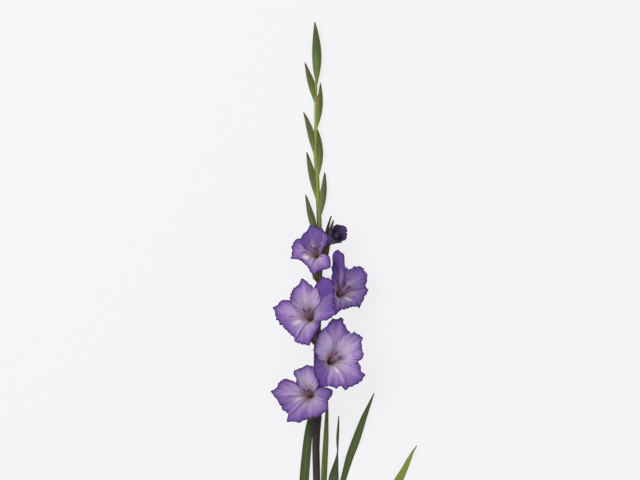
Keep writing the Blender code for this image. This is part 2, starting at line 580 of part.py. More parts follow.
def between(angles, keys, values):
    # Values at the six tepals' directions, carried smoothly round the bloom.
    order = np.argsort(keys)
    k, w = np.array(keys)[order], np.array(values)[order]
    k = np.concatenate([k - 2 * math.pi, k, k + 2 * math.pi])
    w = np.concatenate([w, w, w])
    i = np.clip(np.searchsorted(k, angles, side="right") - 1, 0, len(k) - 2)
    t = (angles - k[i]) / (k[i + 1] - k[i])
    return w[i] + (w[i + 1] - w[i]) * t * t * (3 - 2 * t)


def funnel_points(bloom, frame, plan, angle, share, lift):
    # Points of the funnel on which all six tepals lie, or at this height above it.
    length = between(angle, plan["directions"], plan["lengths"])
    opening = between(angle, plan["directions"], plan["openings"])
    out, up, lean = opened(np.minimum(share, 1.0), opening)
    beyond = np.maximum(share - 1.0, 0.0)
    radius = FUNNEL_FLOOR + length * (out + beyond * np.sin(lean)) - lift * np.cos(lean)
    height = -SUNK + length * (up + beyond * np.cos(lean)) + lift * np.sin(lean)
    local = np.stack([radius * np.cos(angle), radius * np.sin(angle), height], axis=1)
    return np.array(bloom["place"]) + local @ np.array(frame).T


def lift_at(bloom, index, u, v):
    # How far a tepal stands off the funnel: the inner ones inwards, the outer ones outwards.
    side = 1 if TEPAL_KINDS[index]["layer"] else -1
    raised = bloom.get("raised", (0,) * len(TEPAL_KINDS))[index]
    stand = LAYER_GAP / 2 + LAYER_RISE * u + FLARE * np.abs(v) ** 3 * u**2
    return side * stand + raised * np.minimum(2 * u, 1)


def main_points(points, middle):
    # The points of a rim that shape it most, its two ends and its middle one among them.
    kept = list(range(len(points)))
    while len(kept) > RIM_POINTS:
        losses = []
        for before, here, after in zip(kept, kept[1:], kept[2:]):
            a, b = points[here] - points[before], points[after] - points[here]
            losses.append((math.inf if here == middle else abs(a[0] * b[1] - a[1] * b[0]), here))
        kept.remove(min(losses)[1])
    return kept


def rim_on_funnel(bloom, frame, plan, index):
    # Where across the tepal, and at which direction and share of the length, a rim has its points.
    middle, points = bloom["rims"][index]
    points = np.array(points)
    reach = np.concatenate([[0], np.cumsum(np.linalg.norm(np.diff(points, axis=0), axis=1))])
    before, after = reach / reach[middle] - 1, (reach - reach[middle]) / (reach[-1] - reach[middle])
    places = np.where(reach < reach[middle], before, after)
    lift = lift_at(bloom, index, 1.0, places)
    way = (points - bloom["place"][:2]) @ np.array(frame)[:2, :2]
    angle, share = np.unwrap(np.arctan2(way[:, 1], way[:, 0])), np.full(len(points), SOLVER["start"])
    step = SOLVER["probe"]
    for _ in range(SOLVER["steps"]):
        here = funnel_points(bloom, frame, plan, angle, share, lift)[:, :2]
        by_turn = (funnel_points(bloom, frame, plan, angle + step, share, lift)[:, :2] - here) / step
        by_share = (funnel_points(bloom, frame, plan, angle, share + step, lift)[:, :2] - here) / step
        miss = points - here
        scale = by_turn[:, 0] * by_share[:, 1] - by_turn[:, 1] * by_share[:, 0]
        turn_step = (miss[:, 0] * by_share[:, 1] - miss[:, 1] * by_share[:, 0]) / scale
        share_step = (by_turn[:, 0] * miss[:, 1] - by_turn[:, 1] * miss[:, 0]) / scale
        turn_step = np.clip(SOLVER["gain"] * turn_step, -SOLVER["most_turn"], SOLVER["most_turn"])
        share_step = np.clip(SOLVER["gain"] * share_step, -SOLVER["most_share"], SOLVER["most_share"])
        angle, share = angle + turn_step, np.clip(share + share_step, SOLVER["low"], SOLVER["high"])
    angle += 2 * math.pi * round((plan["directions"][index] - angle[middle]) / (2 * math.pi))
    kept = main_points(points, middle)
    return places[kept], angle[kept], share[kept]


def bloom_plan(bloom, frame):
    # Direction, length, foot and rim of each of the six tepals.
    openings = [kind["open"] + extra for kind, extra in zip(TEPAL_KINDS, bloom["more"])]
    aims = [
        aim(bloom, frame, opening, points[middle])
        for opening, (middle, points) in zip(openings, bloom["rims"])
    ]
    directions = [way for way, _ in aims]
    feet = []
    for way in directions:
        turns = sorted((other - way) % (2 * math.pi) for other in directions if other != way)
        gaps = (2 * math.pi - turns[-1], turns[0])
        feet.append([min(gap * FOOT_SHARE, FOOT_MOST) for gap in gaps])
    plan = dict(openings=openings, directions=directions, lengths=[end for _, end in aims], feet=feet)
    plan["rims"] = [rim_on_funnel(bloom, frame, plan, index) for index in range(len(TEPAL_KINDS))]
    return plan


def bud_plan(bloom):
    # The half-open bud's tepals stand evenly, each with a rounded end.
    across = evenly(BUD_TEPAL_COLUMNS)
    directions = [math.radians(kind["evenly"]) for kind in TEPAL_KINDS]
    rims = [
        (across, way + BUD_SPAN * across, 1 - BUD_SHOULDER * np.abs(across) ** BUD_ROUNDNESS)
        for way in directions
    ]
    return dict(
        openings=[bloom["opening"]] * len(TEPAL_KINDS), directions=directions, lengths=bloom["lengths"],
        feet=[[BUD_FOOT] * 2] * len(TEPAL_KINDS), rims=rims,
    )


def bloom_folds(number):
    # The folds of one bloom, drawn once from a fixed seed.
    draw = random.Random(number)
    return [(turns, size, draw.uniform(0, 6.28), rise) for turns, size, rise in FOLDS]


def tepal_body(bloom, frame, plan, index, folds, rows):
    foot_before, foot_after = plan["feet"][index]
    places, angles, shares = plan["rims"][index]

    def points_at(u, v):
        foot = plan["directions"][index] + v * np.where(v < 0, foot_before, foot_after)
        angle = foot + (np.interp(v, places, angles) - foot) * u
        share = np.interp(v, places, shares) * u
        wave = np.zeros_like(u)
        for turns, size, phase, rise in folds:
            wave += size * np.sin(turns * angle + phase + rise * share) * np.minimum(share, 1) ** 2
        lift = lift_at(bloom, index, u, v) + wave - CREASE * np.exp(-((v / 0.14) ** 2)) * u
        return funnel_points(bloom, frame, plan, angle, share, lift)

    return sheet("tepal", points_at, rows, places, TEPAL_THICKNESS)


def tube_start(bloom):
    centre, radius = axis_at(bloom["base"])
    a = math.radians(bloom["side"])
    away = Vector((math.cos(a), 0, math.sin(a)))
    return centre + away * (radius + BRACT_RADIUS + BRACT_THICKNESS / 2), away


def tube_body(bloom, frame):
    start, away = tube_start(bloom)
    end = Vector(bloom["place"])
    first = start + (Vector((0, 1, 0)) + away * TUBE_LEAN).normalized() * TUBE_LEAVES
    second = end - frame.col[2] * TUBE_ARRIVES
    line = bezier(start, first, second, end, TUBE_ROWS)
    radii = [along(TUBE_RADII, k / TUBE_ROWS) for k in range(TUBE_ROWS + 1)]
    return tube("tube", line, radii, TUBE_SIDES, frame.col[2])


def bract_body(bloom, centre_angle, length, widest, radius, drift, bend):
    # A boat-shaped bract that wraps the foot of a bloom's tube and ends in a point.
    start, away = tube_start(bloom)
    ahead = (Vector((0, 1, 0)) + Vector((drift, 0, 0.05))).normalized()

    def point_at(u, v):
        risen = smooth_step(u / BRACT_FOOT)
        centre = start + ahead * (u - BRACT_FOOT) * length - away * (BRACT_SINK * (1 - risen))
        centre.x += bend * u**4
        loose = smooth_step((u - 0.1) / 0.24)
        span = math.radians(widest * (1 - loose) + BRACT_SPAN * loose * (1 - 0.9 * u**3))
        reach = radius * (0.45 + 0.55 * risen)
        reach += BRACT_BELLY * math.sin(math.pi * min(u, 0.9)) - BRACT_TAPER * u
        a = math.radians(centre_angle) + span * v
        return centre + reach * Vector((math.cos(a), 0, math.sin(a)))

    return sheet("bract", each(point_at), BRACT_ROWS, evenly(BRACT_COLUMNS), BRACT_THICKNESS)


def bract_pair(bloom, bracts):
    way = -1 if bloom["side"] > 90 else 1
    start, _ = tube_start(bloom)
    leaving = Vector(bloom["place"]) - start
    out_angle = math.degrees(math.atan2(leaving.z, leaving.x))
    middle = BRACT_RADIUS + BRACT_THICKNESS / 2
    bodies = []
    for (length, drift, bend), turn, widest, radius in zip(
        bracts, (-BRACT_TURN * way, BRACT_TURN * way), BRACT_WIDEST, (middle + BRACT_STEP, middle),
    ):
        length *= bloom.get("size", 1)
        bodies.append(bract_body(bloom, out_angle + turn, length, widest, radius, drift * way, bend))
    return bodies


def stamen_bodies(bloom, frame, upper):
    place = Vector(bloom["place"])
    size = bloom["size"]
    spin = Matrix.Rotation(upper, 3, "Z")

    def world(toward, aside, height):
        return place + frame @ (spin @ Vector((toward, aside, height)))

    def line(points, radii):
        return [world(*spline(points, k / (len(radii) - 1))) for k in range(len(radii))]

    pieces = [tube("foot", [world(0, 0, 0.3), world(0.2, 0, 3.0)], [2.0, 1.5], 6)]
    for aside in (-1, 0, 1):
        stalk, anther, branch = (
            [(toward * size, spread * aside * size, height * size) for toward, spread, height in points]
            for points in (FILAMENT, ANTHER, STIGMA)
        )
        pieces.append(tube("filament", line(stalk, FILAMENT_RADII), FILAMENT_RADII, 4))
        pieces.append(tube("anther", line(anther, ANTHER_RADII), ANTHER_RADII, 5))
        pieces.append(tube("stigma", line(branch, STIGMA_RADII), STIGMA_RADII, 4))
    style = [tuple(size * part for part in point) for point in STYLE]
    pieces.append(tube("style", line(style, STYLE_RADII), STYLE_RADII, 4))
    return pieces


def core_body(bloom, frame):
    # The rolled petals in the middle of the half-open bud.
    rings = []
    for k, radius in enumerate(CORE_RADII):
        share = k / (len(CORE_RADII) - 1)
        ring = []
        for n in range(CORE_SIDES):
            a = 2 * math.pi * n / CORE_SIDES
            reach = radius * (1 + 0.14 * math.cos(3 * (a + share)))
            local = Vector((reach * math.cos(a), reach * math.sin(a), CORE_HEIGHT * share - SUNK))
            ring.append(Vector(bloom["place"]) + frame @ local)
        rings.append(ring)
    return loft("core", rings)


def build():
    for old in list(bpy.data.objects):
        bpy.data.objects.remove(old, do_unlink=True)
    colours = {name: material(name) for name in COLOURS}

    green = [axis_body()]
    for tip, middle, base, half in BUDS:
        lean = INNER_LEAN if tip[0] < base[0] else -INNER_LEAN
        green.append(bud_body(tip, middle, base, half, 1.0, 0.0, BUD_ROWS))
        green.append(bud_body(tip, middle, base, half * INNER_WIDTH, INNER_SHARE, lean, INNER_ROWS))

    for number, (name, bloom) in enumerate(BLOOMS.items(), 1):
        frame = bloom_frame(bloom)
        plan, folds = bloom_plan(bloom, frame), bloom_folds(number)
        pieces = [tube_body(bloom, frame)]
        for index in range(len(TEPAL_KINDS)):
            pieces.append(tepal_body(bloom, frame, plan, index, folds, TEPAL_ROWS))
        fuse(name, pieces, colours["petal_violet"])
        stamens = stamen_bodies(bloom, frame, plan["directions"][bloom["hood"]])
        fuse(f"stamens_{number}", stamens, colours["anther_violet"])
        green += bract_pair(bloom, BRACTS)

    frame = bloom_frame(BUD_BLOOM)
    plan, folds = bud_plan(BUD_BLOOM), bloom_folds(len(BLOOMS) + 1)
    pieces = [tube_body(BUD_BLOOM, frame), core_body(BUD_BLOOM, frame)]
    for index in range(len(TEPAL_KINDS)):
        pieces.append(tepal_body(BUD_BLOOM, frame, plan, index, folds, BUD_TEPAL_ROWS))
    fuse("opening_bud", pieces, colours["bud_violet"])
    green += bract_pair(BUD_BLOOM, BUD_BRACTS)

    fuse("stem", green, colours["stem_green"])
    for name, leaf in LEAVES.items():
        leaf_body(name, leaf, colours["leaf_green"])


build()
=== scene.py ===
import functools
import math
import random

import bmesh
import bpy
import numpy as np
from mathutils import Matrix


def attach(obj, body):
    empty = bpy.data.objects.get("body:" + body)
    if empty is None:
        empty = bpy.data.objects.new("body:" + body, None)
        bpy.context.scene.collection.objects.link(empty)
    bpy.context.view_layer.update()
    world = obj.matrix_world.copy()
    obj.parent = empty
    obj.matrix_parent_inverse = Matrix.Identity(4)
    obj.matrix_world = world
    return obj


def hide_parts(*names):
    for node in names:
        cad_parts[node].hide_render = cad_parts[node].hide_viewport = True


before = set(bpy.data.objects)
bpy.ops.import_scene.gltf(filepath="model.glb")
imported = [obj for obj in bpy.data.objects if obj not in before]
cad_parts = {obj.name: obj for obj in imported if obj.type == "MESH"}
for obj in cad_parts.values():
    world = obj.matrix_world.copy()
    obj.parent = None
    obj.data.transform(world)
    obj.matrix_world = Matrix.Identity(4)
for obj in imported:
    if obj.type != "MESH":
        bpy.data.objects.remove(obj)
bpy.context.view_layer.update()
mm = 0.001  # sizes below are in millimetres, as are the formulas until a mesh is made
near = 0.01  # a small step along a curve, to find its direction
print("frame loaded")


# small helpers for points, colours and meshes

def unit(ways):
    return ways / np.maximum(np.linalg.norm(ways, axis=-1, keepdims=True), 1e-9)


def smoothStep(value):
    value = np.clip(value, 0, 1)
    return value * value * (3 - 2 * value)


def splineAt(points, share):
    # a smooth curve through evenly spaced keys
    keys = np.array(points, float)
    last = len(keys) - 1
    place = np.clip(share, 0, 1) * last
    i = np.minimum(place.astype(int), last - 1)
    t = (place - i)[:, None]
    a, b, c, d = (keys[np.clip(i + k, 0, last)] for k in (-1, 0, 1, 2))
    square, cube = 2 * a - 5 * b + 4 * c - d, 3 * b - a - 3 * c + d
    return 0.5 * (2 * b + (c - a) * t + square * t**2 + cube * t**3)


def bezierAt(corners, t):
    t = t[:, None]
    s = 1 - t
    start, first, second, end = corners
    return start * s**3 + first * (3 * t * s * s) + second * (3 * t * t * s) + end * t**3


def tableAt(table, share, blur=0.0):
    xs, ys = [row[0] for row in table], [row[1] for row in table]
    return sum(np.interp(share + d, xs, ys) for d in (-blur, 0, blur)) / 3


def aroundStem(turn):
    # the way out from the stem's own direction, 0 to the right and a quarter turn upwards
    return np.stack([np.cos(turn), 0 * turn, np.sin(turn)], axis=-1)


def aroundLine(ahead, turn):
    # the way out from a curve that runs ahead
    side = unit(np.array([1, 0, 0]) - ahead * ahead[:, :1])
    return np.cos(turn)[:, None] * side + np.sin(turn)[:, None] * np.cross(ahead, side)


def partOf(look, placeAt, slot=0, **marks):
    return dict(rows=look["rows"], columns=look["columns"], placeAt=placeAt, slot=slot, marks=marks)


def edgeDistance(places, u, v):
    # distance of each point from a sheet's free edge, worked out a few hundred points at a time
    rim = places[(np.abs(v) > 0.999) | (u > 0.999)]
    groups = np.array_split(places, len(places) // 500 + 1)
    return np.concatenate([np.linalg.norm(g[:, None] - rim[None], axis=2).min(axis=1) for g in groups])


def growMesh(name, parts, materials, closed):
    # Each part starts as a flat grid, and each of its corners is then carried to its place.
    shape = bmesh.new()
    for part in parts:
        bmesh.ops.create_grid(shape, x_segments=part["rows"], y_segments=part["columns"], size=1)
    mesh = bpy.data.meshes.new(name)
    shape.to_mesh(mesh)
    shape.free()
    flat = np.empty(len(mesh.vertices) * 3)
    mesh.vertices.foreach_get("co", flat)
    flat = flat.reshape(-1, 3)
    along, across = (flat[:, 0] + 1) / 2, flat[:, 1]
    places = np.empty_like(flat)
    farOff = 99.0  # a closed body has no free edge
    marks = {"edgeMm": np.full(len(flat), farOff)}
    marks.update({mark: np.zeros(len(flat)) for part in parts for mark in part["marks"]})
    slots = np.zeros(len(mesh.polygons), int)
    firstPoint = firstFace = 0
    for part in parts:
        points = slice(firstPoint, firstPoint + (part["rows"] + 1) * (part["columns"] + 1))
        faces = slice(firstFace, firstFace + part["rows"] * part["columns"])
        u, v = along[points], across[points]
        places[points] = part["placeAt"](u, v)
        for mark, value in part["marks"].items():
            marks[mark][points] = value(u, v) if callable(value) else value
        if not closed:
            marks["edgeMm"][points] = edgeDistance(places[points], u, v)
        slots[faces] = part["slot"]
        firstPoint, firstFace = points.stop, faces.stop
    mesh.vertices.foreach_set("co", (places * mm).ravel())
    corners = np.empty(len(mesh.loops), np.int32)
    mesh.loops.foreach_get("vertex_index", corners)
    growth = mesh.uv_layers.new(name="growthMap")
    growth.data.foreach_set("uv", np.stack([along, (across + 1) / 2], axis=1)[corners].ravel())
    for mark, values in marks.items():
        mesh.attributes.new(mark, "FLOAT", "POINT").data.foreach_set("value", values)
    mesh.polygons.foreach_set("material_index", slots)
    for material in materials:
        mesh.materials.append(material)
    if closed:
        shape = bmesh.new()
        shape.from_mesh(mesh)
        bmesh.ops.remove_doubles(shape, verts=shape.verts, dist=0.01 * mm)
        bmesh.ops.holes_fill(shape, edges=shape.edges, sides=0)
        bmesh.ops.recalc_face_normals(shape, faces=shape.faces)
        shape.to_mesh(mesh)
        shape.free()
    mesh.shade_smooth()
    return mesh


def thicken(piece, sheet, backSlot):
    # A sheet gets its thickness, which runs out towards its margin.
    edge = np.empty(len(piece.data.vertices))
    piece.data.attributes["edgeMm"].data.foreach_get("value", edge)
    group = piece.vertex_groups.new(name="thickness")
    for k, weight in enumerate(np.clip(edge / sheet["edgeReach"], 0, 1)):
        group.add([k], float(weight), "REPLACE")
    wall = piece.modifiers.new("wall", "SOLIDIFY")
    wall.thickness = sheet["thickness"] * mm
    wall.offset = 0
    wall.vertex_group = "thickness"
    wall.thickness_vertex_group = sheet["edgeShare"]
    wall.material_offset = backSlot
    wall.use_rim = True


def addPiece(name, node, parts, materials, sheet=None, backSlot=0):
    # a closed body, or a sheet with the settings of its thickness
    piece = bpy.data.objects.new(name, growMesh(name, parts, materials, closed=sheet is None))
    bpy.context.scene.collection.objects.link(piece)
    if sheet:
        thicken(piece, sheet, backSlot)
    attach(piece, "root")
    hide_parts(node)
    return piece


# materials

def fromHex(text):
    # sRGB hex to the linear values that the shaders work in
    values = [int(text[k:k + 2], 16) / 255 for k in (1, 3, 5)]
    return tuple(x / 12.92 if x <= 0.04045 else ((x + 0.055) / 1.055) ** 2.4 for x in values) + (1.0,)


def addNode(tree, kind, *inputs, out=0, stops=(), **settings):
    # One node with its settings and links, and the output of it that is asked for. The inputs
    # come in their order, or in one dictionary by name or number.
    node = tree.nodes.new("ShaderNode" + kind)
    for name, value in settings.items():
        setattr(node, name, value)
    given = inputs[0] if inputs and isinstance(inputs[0], dict) else dict(enumerate(inputs))
    for key, value in given.items():
        if isinstance(value, bpy.types.NodeSocket):
            tree.links.new(value, node.inputs[key])
        else:
            node.inputs[key].default_value = value
    for k, (place, value) in enumerate(stops):
        elements = node.color_ramp.elements
        element = elements[k] if k < len(elements) else elements.new(1.0)
        element.position = place
        element.color = fromHex(value)
    return node.outputs[out]


# settings that many nodes share: a range's numbers are from, to and the values there
times, timesPlus = dict(operation="MULTIPLY"), dict(operation="MULTIPLY_ADD")
soft = dict(interpolation_type="SMOOTHSTEP")


def scaleOf(size):
    # a pattern's scale from its size in millimetres
    return 1 / (size * mm)


def startMaterial(name, settings):
    made = bpy.data.materials.new(name)
    made.use_nodes = True
    for key, value in settings.items():
        made.node_tree.nodes["Principled BSDF"].inputs[key].default_value = value
    return made, functools.partial(addNode, made.node_tree)


def startSkin(name, roughness, specular, glow, glowReach, sheen=(0.0, 0.5)):
    # living tissue, which light enters a little way, and the place that its patterns read
    made, add = startMaterial(name, {
        "Roughness": roughness, "Specular IOR Level": specular, "Subsurface Weight": glow,
        "Subsurface Radius": glowReach, "Subsurface Scale": mm, "Sheen Weight": sheen[0],
        "Sheen Roughness": sheen[1],
    })
    return made, add, add("TexCoord", out="Object")


def growthOf(add):
    # a piece's own map, and the way along it and across it
    growth = add("UVMap", uv_map="growthMap")
    along = add("SeparateXYZ", growth)
    return growth, along, along.node.outputs[1]


def marksOf(add, *names):
    return [add("Attribute", out="Fac", attribute_name=name) for name in names]


def finishMaterial(made, add, colour, coats, height, strength=0.5, depth=0.5):
    # The coats lie over the first colour one after the other, and a fine relief over all.
    tree = made.node_tree
    shader = tree.nodes["Principled BSDF"]
    for share, tint, *blend in coats:
        colour = add(
            "Mix", {0: share, 6: colour, 7: fromHex(tint) if isinstance(tint, str) else tint},
            out=2, data_type="RGBA", blend_type=blend[0] if blend else "MIX",
        )
    relief = add("Bump", {"Strength": strength, "Distance": depth * mm, "Height": height})
    tree.links.new(colour, shader.inputs["Base Color"])
    tree.links.new(relief, shader.inputs["Normal"])
    return made


petalLook = dict(
    blotch=9.0,  # size of the cloudy patches
    crinkle=2.381,  # size of the fine crinkles, coarser than real ones so that they show
    veins=15, veinBend=0.02,  # veins on each half of a tepal, and how far the rays bend them
    rays=(1.6, 17.0, 1.0),  # rays for a tepal's length and breadth
    byClouds=(0.16, -0.29), byRays=0.42, calm=(0.08, 0.35),  # shifts of ripeness, calm in the throat
    bySide=(2.2, 0.1), covered=(0.0, 1.0, 0.82, 1.0),  # riper to the sides, less where covered
    deeper=(0.2, 0.6, 0.2, 0.85), paler=(-1.0, 0.0, 0.6, 0.0),
    veinLine=(0.78, 1.0, 0.0, 0.40), rayShade=(0.3, 0.7, 1.12, 0.84),
    streakEdge=0.12, streakMiddle=(0.10, 0.36, 1.0, 0.0),
    streakRise=(0.18, 0.34), streakFall=(0.42, 0.68, 1.0, 0.0),
    outwards=(0.66, 0.97), rough=(7.0, -3.5),
    rim=(0.5, 7.0, 0.65, 0.0),  # the deeper colour inside the margin, in millimetres from it
    line=(0.6, 2.6, 0.98, 0.0), uneven=(0.36, 0.58, 0.55, 1.0),  # the dark line along it
    crinkleHeight=0.25, veinHeight=-0.2,
)


def petalMaterial(name, stops, pale, rim, line, vein, streak, hoodStops=()):
    # Fresh petal skin: soft and almost without gloss, light comes a little way through it,
    # and the colour runs in rays from the throat and gathers along the margin.
    made, add, place = startSkin(
        name, roughness=0.62, specular=0.2, glow=0.22, glowReach=(1.0, 0.55, 1.2), sheen=(0.12, 0.45),
    )
    growth, along, across = growthOf(add)
    look = petalLook
    edge, kind, hood, depth, bare = marksOf(add, "edgeMm", "kind", "hood", "depth", "bare")
    share, out, wide, side = marksOf(add, "streakShare", "streakOut", "streakWide", "streakSide")
    sideways = add("Math", across, 2.0, -1.0, **timesPlus)
    off = add("Math", sideways, operation="ABSOLUTE")

    clouds = add("TexNoise", {"Vector": place, "Scale": scaleOf(look["blotch"])})
    # rays that spread from the throat, drawn in the tepal's own map, and the veins, bent by them
    rayPlace = add("Mapping", {"Vector": growth, "Scale": look["rays"]})
    rays = add("TexNoise", {
        "Vector": rayPlace, "W": kind, "Scale": 1.0, "Detail": 3.0, "Roughness": 0.6, "Distortion": 0.3,
    }, noise_dimensions="4D")
    bent = add("Math", rays, look["veinBend"], across, **timesPlus)
    veinPlace = add("CombineXYZ", bent)
    veins = add("TexWave", {"Vector": veinPlace, "Scale": look["veins"] / math.pi}, out=1)

    # ripeness: from the throat to the margin, shifted by patches and rays
    shift = add("Math", clouds, *look["byClouds"], **timesPlus)
    shift = add("Math", rays, look["byRays"], shift, **timesPlus)
    calm = add("MapRange", along, *look["calm"])
    shift = add("Math", shift, calm, **times)
    power, more = look["bySide"]
    aside = add("Math", off, power, operation="POWER")
    aside = add("Math", aside, more, 1.0, **timesPlus)
    grown = add("Math", along, aside, **times)
    covered = add("MapRange", bare, *look["covered"])
    grown = add("Math", grown, covered, **times)
    ripeness = add("Math", grown, shift)
    plainColour = add("ValToRGB", ripeness, stops=stops)
    hoodColour = add("ValToRGB", ripeness, stops=hoodStops or stops)
    # each tepal's depth mark deepens it, and pales it below nought: partly the tepal's own tone, partly
    # painted shade and painted light
    deeper = add("MapRange", along, *look["deeper"])
    deeper = add("Math", depth, deeper, **times)
    paler = add("MapRange", depth, *look["paler"])
    veinLine = add("MapRange", veins, *look["veinLine"], **soft)
    shade = add("MapRange", rays, *look["rayShade"])

    # a creamy streak along the lip, and a faint one along the inner tepals
    beside = add("Math", sideways, side, operation="SUBTRACT")
    beside = add("Math", beside, operation="ABSOLUTE")
    beside = add("Math", rays, look["streakEdge"], beside, **timesPlus)
    beside = add("Math", beside, wide, operation="DIVIDE")
    outer = add("Math", along, out, operation="SUBTRACT")
    streakShare = add("MapRange", beside, *look["streakMiddle"], **soft)
    for key in ("streakRise", "streakFall"):
        end = add("MapRange", outer, *look[key], **soft)
        streakShare = add("Math", streakShare, end, **times)
    streakShare = add("Math", streakShare, share, **times)

    # the deeper rim and the dark line, only towards the tip and not where a margin lies on a tepal
    rough = add("Math", rays, *look["rough"], **timesPlus)
    nearEdge = add("Math", edge, rough)
    outwards = add("MapRange", along, *look["outwards"], **soft)
    outwards = add("Math", outwards, bare, **times)
    rimShare = add("MapRange", nearEdge, *look["rim"], **soft)
    rimShare = add("Math", rimShare, outwards, **times)
    lineShare = add("MapRange", edge, *look["line"], **soft)
    uneven = add("MapRange", clouds, *look["uneven"])
    for factor in (outwards, uneven):
        lineShare = add("Math", lineShare, factor, **times)

    # ribs and crinkles
    crinkle = add("TexNoise", {"Vector": place, "Scale": scaleOf(look["crinkle"]), "Detail": 3.0})
    height = add("Math", crinkle, look["crinkleHeight"], rays, **timesPlus)
    height = add("Math", veins, look["veinHeight"], height, **timesPlus)
    return finishMaterial(made, add, plainColour, [
        (hood, hoodColour), (deeper, rim), (paler, pale), (veinLine, vein), (1.0, shade, "MULTIPLY"),
        (streakShare, streak), (rimShare, rim), (lineShare, line),
    ], height, depth=0.7)


petalFront = petalMaterial(
    "petalSkinFront",
    stops=[
        (0.0, "#ac8c6a"), (0.05, "#b69480"), (0.11, "#c29cac"), (0.22, "#bea2bc"),
        (0.42, "#c0b0cc"), (0.64, "#a992be"), (0.84, "#8868a6"), (1.0, "#6b488e"),
    ],
    hoodStops=[
        (0.0, "#a4845c"), (0.06, "#b08c76"), (0.14, "#bc9298"), (0.28, "#b899ad"),
        (0.45, "#bcacc2"), (0.66, "#b3a1c2"), (0.86, "#8f72aa"), (1.0, "#6f4c90"),
    ],
    pale="#c8bede", rim="#583686", line="#221044", vein="#805f9e", streak="#f4eedc",
)
petalBack = petalMaterial(
    "petalSkinBack",
    stops=[(0.0, "#6f6a3e"), (0.14, "#80669a"), (0.35, "#785c9e"), (0.65, "#6a4a96"), (1.0, "#533682")],
    pale="#a090c0", rim="#4a2b78", line="#28124a", vein="#573a80", streak="#9a86b4",
)
budPetal = petalMaterial(
    "budPetalSkin",
    stops=[(0.0, "#5a4e5a"), (0.2, "#51445e"), (0.5, "#4a3a60"), (0.8, "#433258"), (1.0, "#3a294c")],
    pale="#8876a0", rim="#584870", line="#3c2c50", vein="#3c2c4c", streak="#5c4a78",
)
stalkLook = dict(
    grain=(1.111, 71.43, 1.111), spots=16.667,  # sizes of the streaks, coarse enough to show
    paintedFlank=(0.78, 0.90), shadedFlank=(0.62, 0.69, 1.0, 0.0),  # where the painted light and painted shade on the flanks begin on the map
    fading=(0.16, 0.22), greening=(-0.34, -0.20, 0.25, 1.0),  # heights where they fade, in metres
    shade=(0.3, 0.7, 0.66, 1.30), spotted=0.08, ragged=0.08, ribHeight=0.5,
)


def stalkMaterial(name, stops, ribs, left, right, sides, reach=()):
    # Living stalk under a thin waxy bloom: satin, with fine ribs along it, a colour that
    # changes from end to end (over a reach of heights, or else along its map), and light and shade
    # painted on fixed sides: the left flank tinted (purplish painted light on the stem, painted shade
    # on the tubes) and the right one darker, as painted shade.
    made, add, place = startSkin(name, roughness=0.55, specular=0.2, glow=0.03, glowReach=(0.6, 1.0, 0.3))
    _, ripeness, turn = growthOf(add)
    look = stalkLook
    level = add("SeparateXYZ", place, out=1)
    stretched = add("Mapping", {"Vector": place, "Scale": [scaleOf(size) for size in look["grain"]]})
    streaks = add("TexNoise", {"Vector": stretched, "Scale": 1.0, "Detail": 4.0})
    if reach:
        spots = add("TexNoise", {"Vector": place, "Scale": scaleOf(look["spots"]), "Detail": 3.0})
        ripeness = add("MapRange", level, reach[0] * mm, reach[1] * mm)
        ripeness = add("Math", spots, look["spotted"], ripeness, **timesPlus)
    colour = add("ValToRGB", ripeness, stops=stops)
    uneven = add("Math", streaks, look["ragged"], turn, **timesPlus)
    fading = add("MapRange", level, *look["fading"], sides, 0.0)
    greening = add("MapRange", level, *look["greening"])
    fading = add("Math", fading, greening, **times)
    # painted light and shade on fixed sides of the stalk: a tint on the left flank, a darker painted shade
    # on the right
    coats = []
    for key, tint in (("paintedFlank", left), ("shadedFlank", right)):
        paintedFlank = add("MapRange", uneven, *look[key])
        coats.append((add("Math", paintedFlank, fading, **times), tint))
    coats.append((1.0, add("MapRange", streaks, *look["shade"]), "MULTIPLY"))
    ribPlace = add("CombineXYZ", turn)
    ribWave = add("TexWave", {"Vector": ribPlace, "Scale": ribs / (2 * math.pi)}, out=1)
    height = add("Math", ribWave, look["ribHeight"], streaks, **timesPlus)
    return finishMaterial(made, add, colour, coats, height)


stemSkin = stalkMaterial(
    "stemSkin",
    stops=[
        (0.0, "#75843f"), (0.18, "#5c6636"), (0.31, "#383726"), (0.46, "#26231a"), (0.57, "#302a1c"),
        (0.62, "#584a2c"), (0.70, "#665e2e"), (0.77, "#7a883e"), (1.0, "#8b984c"),
    ],
    # the left flank purplish as painted light, the right one near black as painted shade
    reach=(-490, 460), ribs=22, left="#342c39", right="#121012", sides=0.92,
)
# a flower tube's skin: its outside up to 0.6, then the inside of its throat
tubeSkin = stalkMaterial(
    "flowerTubeSkin",
    stops=[
        (0.0, "#6a5c34"), (0.22, "#6e5c3e"), (0.38, "#6c5472"), (0.57, "#6a4f8c"), (0.62, "#a8828c"),
        (0.72, "#a6866c"), (0.85, "#907a46"), (1.0, "#746234"),
    ],
    # the flanks darker as painted shade, the right one most
    ribs=6, left="#5a4634", right="#3e3028", sides=0.2,
)
budTubeSkin = stalkMaterial(
    "budTubeSkin",
    stops=[(0.0, "#6c5c30"), (0.3, "#665436"), (0.48, "#584844"), (0.62, "#4c3a58"), (1.0, "#3a2c44")],
    # the flanks darker as painted shade, the right one most
    ribs=6, left="#4a3c2c", right="#2a2016", sides=0.4,
)
bractSkinLook = dict(
    spots=11.111, spotted=0.2, shade=(0.3, 0.7, 0.66, 1.26),
    rim=(0.4, 2.0, 0.8, 0.0), upper=(0.2, 0.5),  # the pinkish margin, in millimetres and from where
    dryShift=0.15, dryEnd=(1.0, 1.16, 0.0, 0.9),
)


